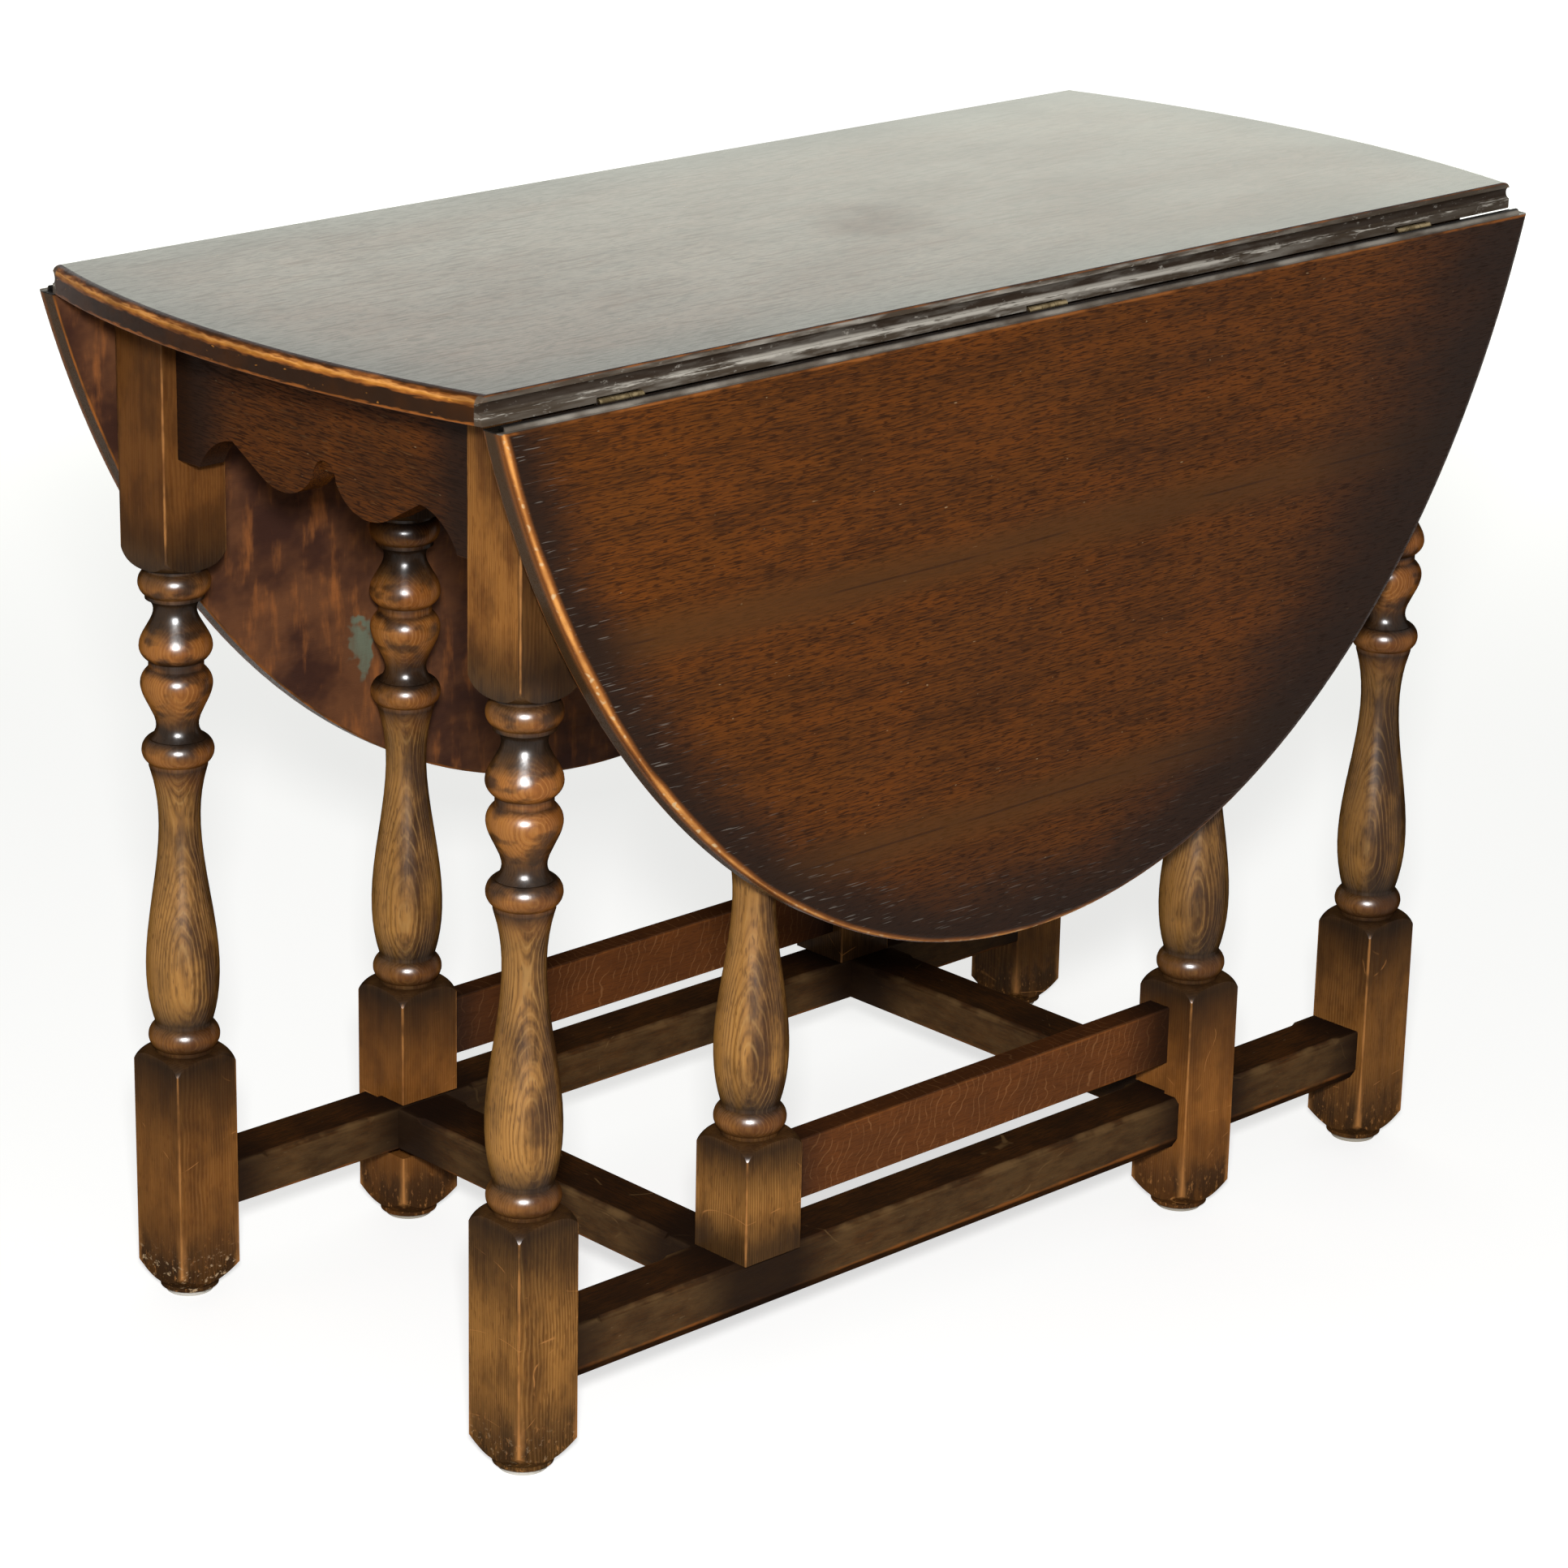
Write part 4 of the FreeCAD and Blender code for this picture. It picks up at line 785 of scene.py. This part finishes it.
def leaf_edge(finish, oak, colour, rim, show, back):
    """Oval edge of a leaf: a drab side, gold on the shown arris and rubbed at the back."""
    edge_side = finish.both(finish.fall(rim, EDGE_SIDE), finish.rise(show, EDGE_START))
    side_tone = finish.blend(finish.fall(show, EDGE_ORANGE), oak.drab, oak.rubbed)
    colour = finish.cover(colour, side_tone, edge_side, strength=0.85)
    strength = finish.fade(finish.fall(finish.xyz[X], GILT_SPAN), first=0.18, last=1.0)
    shown_arris = finish.either(rim, show)
    colour = gilded(finish, oak, colour, shown_arris, width=0.0038, seed=15.0, strength=strength)
    return rubbed(finish, colour, finish.either(rim, back), width=0.0016, seed=16.0, tone=oak.rubbed)


def leaf_hinge_edge(finish, oak, colour, show):
    """Hinge edge of a leaf: a painted grey highlight on the bead, with chalky handled patches, and a
    painted black shadow in the gap behind it.
    """
    drop = finish.less(LEAF_HIGH.z - TONGUE, finish.xyz[Z])
    hinge_edge = finish.both(finish.fall(drop, BEAD_SIDE), finish.rise(show, BEAD_START))
    # Painted grey highlight on the bead, patched with chalk, then painted black shadow in the gap behind it
    handled = finish.patches(LEAF_HANDLING, seed=23.0, first=0.08, last=0.52)
    bead_highlight_and_gap_shadow = finish.blend(handled, oak.grey, oak.chalk)
    bead_highlight_and_gap_shadow = finish.blend(finish.rise(show, GAP_SHADOW_START), bead_highlight_and_gap_shadow, oak.gap)
    colour = finish.cover(colour, bead_highlight_and_gap_shadow, hinge_edge, strength=0.95)
    return rubbed(finish, colour, finish.either(drop, show), width=0.0018, seed=20.0, tone=oak.rubbed)


def leaf_finish(oak, side, hand):
    """Brown oak, toned almost black towards the oval edge, which is rubbed to gold."""
    finish = Finish(side + "_leaf_oak")
    x, y, z = finish.xyz
    across = finish.less(HINGE.y + HINGE.z, z)
    show = finish.less(LEAF_HIGH.y, finish.both(y, hand))
    back = finish.less(LEAF_HIGH.y - LEAF_LOW.y, show)
    rim = oval_depth(finish, x, across)
    colour, pores = oak_grain(finish, oak, X, seed=11.0 + hand)
    colour = leaf_boards(finish, oak, colour, across)
    colour = leaf_border(finish, oak, colour, rim)
    colour = finish.blend(finish.fall(back, UNDERSIDE), colour, leaf_underside(finish, oak))
    colour = leaf_edge(finish, oak, colour, rim, show, back)
    colour = leaf_hinge_edge(finish, oak, colour, show)
    finish.shine(LEAF_SHINE, rimless=False)
    satin = finish.patches(LEAF_SMEARS, 21.0, *LEAF_ROUGHNESS)
    return dress_oak(finish, colour, finish.add(satin, finish.both(pores, DULL_PORES)), pores)


def rail_finish(oak, node, along, seed, joints=(), worn=0.0014):
    """A plain oak bar with thinly rubbed edges, dark where other pieces meet it, with painted shade under
    the top.
    """
    finish = Finish(node + "_oak")
    low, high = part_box(node)
    colour, pores = oak_grain(finish, oak, along, seed)
    colour = grimed(finish, oak, colour, seed + 7, amount=0.35)
    wax = finish.patches(RAIL_WAX.along(along), seed + 8)
    colour = finish.cover(colour, oak.scuffed, wax, strength=0.25)
    arris = arris_depth(finish, low, high)
    colour = rubbed(finish, colour, arris, worn, seed + 9, oak.rubbed, strength=0.8)
    colour = dark_joints(finish, oak, colour, along, joints, reach=0.07)
    # Painted shade under the overhang of the top
    shade_under_top = finish.fall(finish.less(high.z, finish.xyz[Z]), SHADE_UNDER_TOP)
    colour = finish.cover(colour, oak.shadow, shade_under_top, strength=0.8)
    finish.shine(BAR_SHINE)
    return dress_oak(finish, colour, finish.fade(pores, *BAR_ROUGHNESS), pores)


def quarter_rays(finish, oak, colour, seed):
    """Thin pale rays of quarter-sawn oak that cross the grain at a slant."""
    x, y, z = finish.xyz
    sine, cosine = math.sin(RAY_SLANT), math.cos(RAY_SLANT)
    across_rays = finish.add(finish.both(x, sine), finish.both(z, -cosine))
    along_rays = finish.add(finish.both(x, cosine), finish.both(z, sine))
    bowed = finish.add(across_rays, finish.jitter((0.035, 0.030, 0.022), seed + 6, amount=0.005))
    line = finish.fall(finish.math("PINGPONG", bowed, oak.ray_gap / 2), RAY_LINE)
    broken = finish.patches(RAY_BREAKS, seed + 10, place=finish.join(across_rays, y, along_rays))
    return finish.cover(colour, oak.ray, line, broken, strength=0.6)


def gate_rail_finish(oak, node, seed, joints):
    """Russet quarter-sawn oak with rays, rubbed edges and a dark upper face."""
    finish = Finish(node + "_oak")
    low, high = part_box(node)
    colour, pores = oak_grain(finish, oak, X, seed)
    colour = finish.blend(factor=0.5, under=colour, over=oak.russet)
    colour = quarter_rays(finish, oak, colour, seed)
    colour = grimed(finish, oak, colour, seed + 8, amount=0.3)
    arris = arris_depth(finish, low, high)
    colour = rubbed(finish, colour, arris, width=0.0020, seed=seed + 9, tone=oak.rubbed, strength=0.7)
    upper_face = finish.fall(finish.less(high.z, finish.xyz[Z]), BAR_SIDE)
    colour = finish.cover(colour, oak.shadow, upper_face, strength=0.55)
    colour = dark_joints(finish, oak, colour, X, joints, reach=0.085)
    finish.shine(BAR_SHINE)
    return dress_oak(finish, colour, finish.fade(pores, *BAR_ROUGHNESS), pores)


def stretcher_finish(oak, node, along, seed, joints):
    """Oak almost black with polish: rubbed chamfers, scuffed sides, a worn lower edge."""
    finish = Finish(node + "_oak")
    low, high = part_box(node)
    middle = (low + high) / 2
    side = Y if along == X else X
    colour, pores = oak_grain(finish, oak, along, seed)
    colour = finish.blend(factor=0.5, under=colour, over=oak.drab)
    colour = grimed(finish, oak, colour, seed + 7, amount=0.70)
    below = finish.less(high.z, finish.xyz[Z])
    inside = finish.less(high[side] - middle[side], finish.apart(finish.xyz[side], middle[side]))
    scuff = finish.mottle(BAR_SCUFFS.along(along), seed + 8)
    scuffed = finish.rise(scuff, CLOUD_LEVELS, first=0.14, last=0.46)
    flank = finish.both(finish.fall(inside, BAR_SIDE), scuffed)
    colour = finish.blend(flank, colour, oak.scuffed)
    chamfer = finish.either(below, inside)
    colour = rubbed(finish, colour, chamfer, width=0.0046, seed=seed + 9, tone=oak.scuffed, strength=0.7)
    lower_edge = finish.either(finish.apart(below, STRETCHER_SIDE), inside)
    colour = rubbed(finish, colour, lower_edge, width=0.0020, seed=seed + 11, tone=oak.rubbed, strength=0.8)
    colour = scratched(finish, colour, seed + 13, oak.scuffed, strength=0.6)
    colour = dark_joints(finish, oak, colour, along, joints, reach=0.075)
    finish.shine(STRETCHER_SHINE)
    return dress_oak(finish, colour, finish.rise(scuff, CLOUD_LEVELS, *STRETCHER_ROUGHNESS), pores)


class Turning(Finish):
    """Lacquered turned wood: growth rings cut by the turning, stain in the grooves, rubbed corners."""

    def __init__(self, turned, node, seed):
        super().__init__(node + "_wood")
        low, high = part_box(node)
        self.turned = turned
        self.seed = seed
        self.middle = (low + high) / 2
        x, y, z = self.xyz
        self.local_x = self.add(x, -self.middle.x)
        self.local_y = self.add(y, -self.middle.y)
        self.height = self.add(z, self.jitter(even(0.010), seed + 5, amount=0.0007))
        self.streak = self.mottle(STREAKS, seed + 2)
        self.fibre = self.mottle(TURNED_FIBRE, seed + 3)
        self.cloud = self.mottle(STAIN_CLOUDS, seed + 6)
        self.rounded = self.both(self.rise(z, ROUND_BOTTOM), self.fall(z, ROUND_TOP))
        self.balls = self.both(self.rise(z, BALLS_BOTTOM), self.fall(z, BALLS_TOP))

    def grain(self, heart_angle):
        """Honey wood with brown streaks, growth rings round the heart of the tree, and pores."""
        turned, seed, z = self.turned, self.seed, self.xyz[Z]
        sine, cosine = math.sin(heart_angle), math.cos(heart_angle)
        toward = self.add(self.both(self.local_x, sine), self.both(self.local_y, -cosine))
        aside = self.add(self.both(self.local_x, cosine), self.both(self.local_y, sine))
        half = self.rise(self.both(aside, self.rounded), GRAIN_HALVES, first=-0.08, last=0.12)
        noises = zip((self.streak, self.fibre, self.cloud), TURNED_SHARES)
        shares = [self.both(noise, share) for noise, share in noises]
        contrast = self.rise(z, LOWER_BLOCK_TOP, first=0.42)
        tone = self.both(self.add(*shares, half, -CLOUD_MIDDLE), contrast)
        tone = self.add(tone, CLOUD_MIDDLE)
        colour = self.blend(self.rise(tone, GRAIN_LEVELS), turned.deep, turned.light)
        from_heart = self.length(self.add(toward, -turned.heart_distance), aside)
        wander = self.jitter((0.025, 0.025, 0.080), seed, amount=0.0012)
        leaning = self.add(from_heart, wander, self.both(z, RING_LEAN))
        in_ring = self.math("PINGPONG", leaning, turned.ring_width / 2)
        figured = self.patches(RING_BREAKS, seed + 1, first=0.4)
        pale_ring = self.both(self.fall(in_ring, scaled(PALE_RING, turned.ring_width)), figured)
        dark_ring = self.both(self.rise(in_ring, scaled(DARK_RING, turned.ring_width)), figured)
        paleness = self.fade(self.balls, first=0.65, last=0.85)
        colour = self.blend(self.both(pale_ring, paleness), colour, turned.ring)
        colour = self.cover(colour, turned.deep, dark_ring, strength=0.62)
        return self.cover(colour, turned.deep, self.patches(TURNED_PORES, seed + 4), strength=0.5)

    def warm(self, colour, reds):
        """Red stain on the balls, beads and blocks, with more in a leg's own lower and upper parts."""
        lower_red, upper_red = reds
        own_lower_red = self.rise(self.xyz[Z], LOWER_RED_TOP, lower_red, 0.0)
        own_upper_red = self.rise(self.xyz[Z], ROUND_TOP, 0.0, upper_red)
        warmth = self.ramp(self.height, LEG_WARMTH, TABLE_HEIGHT)
        return self.blend(self.add(warmth, own_lower_red, own_upper_red), colour, self.turned.red)

    def stain(self, colour, shades, dark_ends):
        """Dark stain in the grooves, on the balls and the foot and at dark ends, and painted shade beside
        the leaf.
        """
        z = self.xyz[Z]
        lower, vase, upper = shades
        own_shades = [
            *zip(LOWER_BLOCK_TOP, (lower, vase)),
            *zip(VASE_TOP, (vase, BALL_SHADE)),
            *zip(ROUND_TOP, (BALL_SHADE, upper)),
            *zip(UPPER_FADE, (upper, upper * FADED_SHARE)),
        ]
        grooves = self.ramp(self.height, LEG_SHADES, TABLE_HEIGHT)
        cloudy = self.rise(self.cloud, STAIN_CLOUDS.levels, first=0.68)
        ball_stain = self.both(self.patches(BALL_STAINS, self.seed + 14), self.balls)
        grubby = self.both(self.fall(z, DIRT_TOP), self.rise(self.cloud, GRUBBY_LEVELS))
        # Painted shade on the upper block's outer side, where the hanging leaf shades it
        outward = self.both(self.local_y, math.copysign(1.0, self.middle.y))
        painted_leaf_shade = self.both(self.rise(outward, OUTER_SIDE), self.rise(z, ROUND_TOP))
        clear_of_stain_and_shade = self.both(
            grooves,
            cloudy,
            self.ramp(z, own_shades, TABLE_HEIGHT),
            self.fade(ball_stain, first=1.0, last=0.22),
            self.fade(grubby, first=1.0, last=0.35),
            self.fade(painted_leaf_shade, first=1.0, last=0.30),
            *(self.rise(self.apart(z, end), JOINT_STAIN, first=0.12) for end in dark_ends),
        )
        return self.blend(clear_of_stain_and_shade, self.turned.groove, colour)

    def wear(self, colour, chipped):
        """Rubbed corners, and scuffs, chips and scratches near the floor."""
        turned, seed = self.turned, self.seed
        x, y, z = self.xyz
        depth_x = self.less(LEG_HALF, self.apart(x, self.middle.x))
        depth_y = self.less(LEG_HALF, self.apart(y, self.middle.y))
        arris = self.either(depth_x, depth_y)
        colour = rubbed(self, colour, arris, width=0.0015, seed=seed + 7, tone=turned.worn, strength=0.62)
        soft = self.add(arris, self.jitter((0.008, 0.008, 0.016), seed + 12, amount=0.0015))
        foot_arris = self.fall(soft, FOOT_ARRIS)
        colour = self.cover(colour, turned.worn, foot_arris, self.fall(z, FOOT_TOP), strength=0.75)
        scuffs = self.patches(FOOT_SCUFFS, seed + 9)
        colour = self.cover(colour, turned.worn, scuffs, self.fall(z, SCUFFS_TOP), strength=0.75)
        chips = self.patches(FOOT_CHIPS, seed + 11)
        colour = self.cover(colour, turned.bare, chips, self.fall(z, CHIPS_TOP), strength=chipped)
        near_floor = self.rise(z, SCRATCHES_TOP, first=0.75, last=0.0)
        return scratched(self, colour, seed + 10, turned.worn, near_floor)


def turned_finish(turned, node, heart_angle, seed, shades, reds=(0.0, 0.0), chipped=0.0, dark_ends=()):
    """Finish of a leg or post: its lower, vase and upper shades, its reds, chips and dark ends."""
    finish = Turning(turned, node, seed)
    colour = finish.warm(finish.grain(heart_angle), reds)
    colour = finish.stain(colour, shades, dark_ends)
    colour = finish.wear(colour, chipped)
    off_floor = finish.rise(finish.xyz[Z], GLIDE_DUST, first=0.1)
    polished = finish.fade(finish.rounded, first=0.3, last=1.0)
    finish.shine(TURNED_SHINE, finish.both(polished, off_floor))
    roughness = finish.rise(finish.streak, CLOUD_LEVELS, *TURNED_ROUGHNESS)
    return finish.dress(colour, roughness, finish.fibre, FIBRE_RELIEF)


def metal_finish(name, bright, dull, seed, roughness):
    """Old metal, rubbed bright in places and dull in others."""
    finish = Finish(name)
    patches = finish.mottle(TARNISH, seed)
    colour = finish.blend(finish.rise(patches, TARNISH.levels), dull, bright)
    finish.shader.inputs["Metallic"].default_value = 1.0
    uneven = finish.rise(patches, CLOUD_LEVELS, roughness + DULL_METAL, roughness)
    return finish.dress(colour, uneven, patches, SCUFF_RELIEF)


def glide_finish(fittings):
    """Off-white nylon, scuffed, with patches of dirt, and darker away from the left end."""
    finish = Finish("glide_nylon")
    dirt = finish.mottle(GLIDE_DIRT, seed=61.0)
    from_left = finish.rise(finish.xyz[X], (-LEG_X + LEG_HALF, -GATE_X - LEG_HALF), last=0.7)
    darkened = finish.either(from_left, finish.rise(dirt, GLIDE_DIRT.levels, last=0.9))
    colour = finish.blend(darkened, fittings.glide, fittings.dirt)
    finish.shine(GLIDE_SHINE)
    return finish.dress(colour, finish.rise(dirt, CLOUD_LEVELS, *GLIDE_ROUGHNESS), dirt, SCUFF_RELIEF)


def paint(node, material):
    """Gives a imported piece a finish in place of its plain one."""
    piece = frame["nodes"][node]
    piece.material_slots[0].material = material


class GATELEG_OT_top(Operator):
    """Finish the fixed top"""

    bl_idname = "gateleg.top"
    bl_label = "Top"

    def execute(self, context):
        paint("top_centre", top_finish(context.scene.gateleg_oak))
        return {"FINISHED"}


class GATELEG_OT_leaves(Operator):
    """Finish the two drop leaves"""

    bl_idname = "gateleg.leaves"
    bl_label = "Leaves"

    def execute(self, context):
        for side, hand in zip(SIDES, (-1, 1)):
            paint(side + "_leaf", leaf_finish(context.scene.gateleg_oak, side, hand))
        return {"FINISHED"}


class GATELEG_OT_legs(Operator):
    """Finish the four turned corner legs"""

    bl_idname = "gateleg.legs"
    bl_label = "Legs"

    def execute(self, context):
        turned = context.scene.gateleg_turned
        # Name, angle of the heart, shades of the lower, vase and upper parts, lower and upper reds, chips
        legs = (
            ("near_left_leg", -0.50, (1.0, 0.92, 0.95), (0.0, 0.1), 0.25),
            ("near_right_leg", -0.95, (0.80, 0.66, 0.80), (0.25, 0.1), 0.0),
            ("far_left_leg", -0.55, (0.80, 0.95, 0.52), (0.3, 0.35), 0.7),
            ("far_right_leg", -1.20, (0.90, 0.90, 0.80), (0.2, 0.1), 0.0),
        )
        for index, (node, heart_angle, shades, reds, chipped) in enumerate(legs):
            seed = 31.0 + TURNED_SEEDS * index
            paint(node, turned_finish(turned, node, heart_angle, seed, shades, reds, chipped))
        return {"FINISHED"}


class GATELEG_OT_gates(Operator):
    """Finish the posts, legs, rails and pegs of the two gates"""

    bl_idname = "gateleg.gates"
    bl_label = "Gates"

    def execute(self, context):
        oak = context.scene.gateleg_oak
        turned = context.scene.gateleg_turned
        for index, (side, vase) in enumerate(zip(SIDES, (0.70, 0.95))):
            post = side + "_pivot_post"
            low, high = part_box(post)
            wood = turned_finish(
                turned, post, heart_angle=-0.78, seed=81.0 + TURNED_SEEDS * index,
                shades=(1.8, 1.0, 0.8), dark_ends=(low.z, high.z),
            )
            paint(post, wood)
            paint(side + "_pivot_pegs", wood)
            leg = side + "_gate_leg"
            wood = turned_finish(
                turned, leg, heart_angle=-0.70, seed=103.0 + TURNED_SEEDS * index,
                shades=(1.0, vase, 0.8), reds=(0.45, 0.1),
            )
            paint(leg, wood)
            for place in ("lower", "upper"):
                rail = f"{side}_gate_{place}_rail"
                seed = 131.0 + RAIL_SEEDS * index
                paint(rail, gate_rail_finish(oak, rail, seed, joints=(-GATE_X, GATE_X)))
        return {"FINISHED"}


class GATELEG_OT_frame(Operator):
    """Finish the aprons, side rails and stretchers of the fixed frame"""

    bl_idname = "gateleg.frame"
    bl_label = "Frame"

    def execute(self, context):
        oak = context.scene.gateleg_oak
        leg_y = LEG_LOW.y
        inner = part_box("far_stretcher")[0].y
        for index, end in enumerate(ENDS):
            apron = end + "_apron"
            seed = 151.0 + RAIL_SEEDS * index
            paint(apron, rail_finish(oak, apron, Y, seed, joints=(-leg_y, leg_y), worn=0.0008))
            cross = end + "_cross_stretcher"
            seed = 171.0 + STRETCHER_SEEDS * index
            paint(cross, stretcher_finish(oak, cross, Y, seed, joints=(-inner, inner)))
        for index, side in enumerate(SIDES):
            rail = side + "_side_rail"
            paint(rail, rail_finish(oak, rail, X, seed=201.0 + RAIL_SEEDS * index))
            stretcher = side + "_stretcher"
            seed = 221.0 + STRETCHER_SEEDS * index
            joints = (-LEG_X, -GATE_X, GATE_X, LEG_X)
            paint(stretcher, stretcher_finish(oak, stretcher, X, seed, joints))
        return {"FINISHED"}


class GATELEG_OT_fittings(Operator):
    """Finish the hinges, screws and glides"""

    bl_idname = "gateleg.fittings"
    bl_label = "Fittings"

    def execute(self, context):
        fittings = context.scene.gateleg_fittings
        brass = metal_finish("hinge_brass", fittings.brass, fittings.tarnish, seed=55.0, roughness=0.35)
        steel = metal_finish("screw_steel", fittings.steel, fittings.rust, seed=57.0, roughness=0.4)
        nylon = glide_finish(fittings)
        for side in SIDES:
            for plate in ("top", "leaf"):
                paint(f"{side}_hinge_{plate}_plates", brass)
                paint(f"{side}_hinge_{plate}_screws", steel)
            paint(side + "_hinge_pins", steel)
            paint(side + "_gate_glide", nylon)
        paint("top_screws", steel)
        paint("leg_glides", nylon)
        return {"FINISHED"}


class GATELEG_OT_studio(Operator):
    """Set up the camera, the lamps and the pale floor"""

    bl_idname = "gateleg.studio"
    bl_label = "Studio"

    def execute(self, context):
        studio = context.scene.gateleg_studio
        bpy.ops.object.select_all(action="DESELECT")
        self.place_camera(context, studio)
        self.lay_floor(studio)
        self.hang_lamps(context, studio)
        self.light_room(context, studio)
        context.scene.view_settings.view_transform = "Standard"
        return {"FINISHED"}

    def place_camera(self, context, studio):
        bpy.ops.object.camera_add()
        camera = context.object
        camera.name = "camera"
        camera.data.lens = studio.lens
        turn = Matrix.Rotation(-studio.yaw, 4, "Z") @ Matrix.Rotation(math.pi / 2 - studio.pitch, 4, "X")
        place = Matrix.Translation(studio.camera_place)
        camera.matrix_world = place @ turn @ Matrix.Rotation(studio.roll, 4, "Z")
        context.scene.camera = camera

    def lay_floor(self, studio):
        bpy.ops.mesh.primitive_plane_add(size=FLOOR_SIZE)
        floor = bpy.context.object
        floor.name = "floor"
        finish = Finish("floor_white")
        finish.dress(studio.floor_colour, finish.patches(FLOOR_SPECKLE, 71.0, *FLOOR_ROUGHNESS))
        finish.shine(0.0, rimless=False)
        from_table = finish.length(finish.xyz[X], finish.xyz[Y])
        glow = finish.rise(from_table, FLOOR_FADE, studio.floor_glow, studio.floor_far_glow)
        finish.feed(finish.shader.inputs["Emission Color"], WHITE)
        finish.feed(finish.shader.inputs["Emission Strength"], finish.both(finish.seen(), glow))
        floor.data.materials.append(finish.material)

    def hang_lamps(self, context, studio):
        target = Vector((0.0, 0.0, TABLE_HEIGHT / 2))
        camera = Vector(studio.camera_place)
        key = camera + Vector((0.0, 0.0, KEY_LIFT))
        away = Vector((-camera.x, -camera.y, 0.0)).normalized()
        rear = away * REAR_DISTANCE + Vector((0.0, 0.0, REAR_HEIGHT))
        lamps = (
            (KEY_LAMP, key, studio.key_power, (studio.key_size, studio.key_size), WHITE),
            (SPARK_LAMP, key, studio.spark_power, (studio.spark_size, studio.spark_size), WHITE),
            (REAR_PANEL, rear, studio.rear_power, REAR_SIZE, studio.rear_tint),
        )
        turnings = bpy.data.collections.new("turned_pieces")
        for node in TURNED_PIECES:
            turnings.objects.link(frame["nodes"][node])
        for name, place, power, size, tint in lamps:
            bpy.ops.object.light_add(type="AREA", location=place)
            lamp = context.object
            lamp.name = name
            lamp.rotation_euler = (target - place).to_track_quat("-Z", "Y").to_euler()
            lamp.data.shape = "RECTANGLE"
            lamp.data.size, lamp.data.size_y = size
            lamp.data.energy = power
            lamp.data.color = tint
            lamp.visible_camera = False
            lamp.visible_diffuse = name != SPARK_LAMP
            lamp.visible_glossy = name != KEY_LAMP
            if name == SPARK_LAMP:
                lamp.light_linking.receiver_collection = turnings

    def light_room(self, context, studio):
        world = bpy.data.worlds.new("studio_room")
        context.scene.world = world
        world.use_nodes = True
        background = world.node_tree.nodes["Background"]
        background.inputs["Color"].default_value = (*WHITE, 1.0)
        room = Steps(world.node_tree)
        room.feed(background.inputs["Strength"], room.fade(room.seen(), studio.ambient, 1.0))


OPERATORS = (
    GATELEG_OT_top,
    GATELEG_OT_leaves,
    GATELEG_OT_legs,
    GATELEG_OT_gates,
    GATELEG_OT_frame,
    GATELEG_OT_fittings,
    GATELEG_OT_studio,
)


class GATELEG_PT_table(Panel):
    """The steps that finish the table"""

    bl_idname = "GATELEG_PT_table"
    bl_label = "Gateleg table"
    bl_space_type = "VIEW_3D"
    bl_region_type = "UI"
    bl_category = "Gateleg table"

    def draw(self, context):
        for operator in OPERATORS:
            self.layout.operator(operator.bl_idname)


SETTINGS = {
    "gateleg_oak": OakStain,
    "gateleg_turned": TurnedStain,
    "gateleg_fittings": Fittings,
    "gateleg_studio": Studio,
}


def register():
    for settings in SETTINGS.values():
        bpy.utils.register_class(settings)
    for name, settings in SETTINGS.items():
        setattr(bpy.types.Scene, name, PointerProperty(type=settings))
    for operator in OPERATORS:
        bpy.utils.register_class(operator)
    bpy.utils.register_class(GATELEG_PT_table)


def unregister():
    bpy.utils.unregister_class(GATELEG_PT_table)
    for operator in reversed(OPERATORS):
        bpy.utils.unregister_class(operator)
    for name in SETTINGS:
        delattr(bpy.types.Scene, name)
    for settings in reversed(SETTINGS.values()):
        bpy.utils.unregister_class(settings)


def main():
    register()
    bpy.ops.gateleg.top()
    bpy.ops.gateleg.leaves()
    bpy.ops.gateleg.legs()
    bpy.ops.gateleg.gates()
    bpy.ops.gateleg.frame()
    bpy.ops.gateleg.fittings()
    bpy.ops.gateleg.studio()


if __name__ == "__main__":
    main()
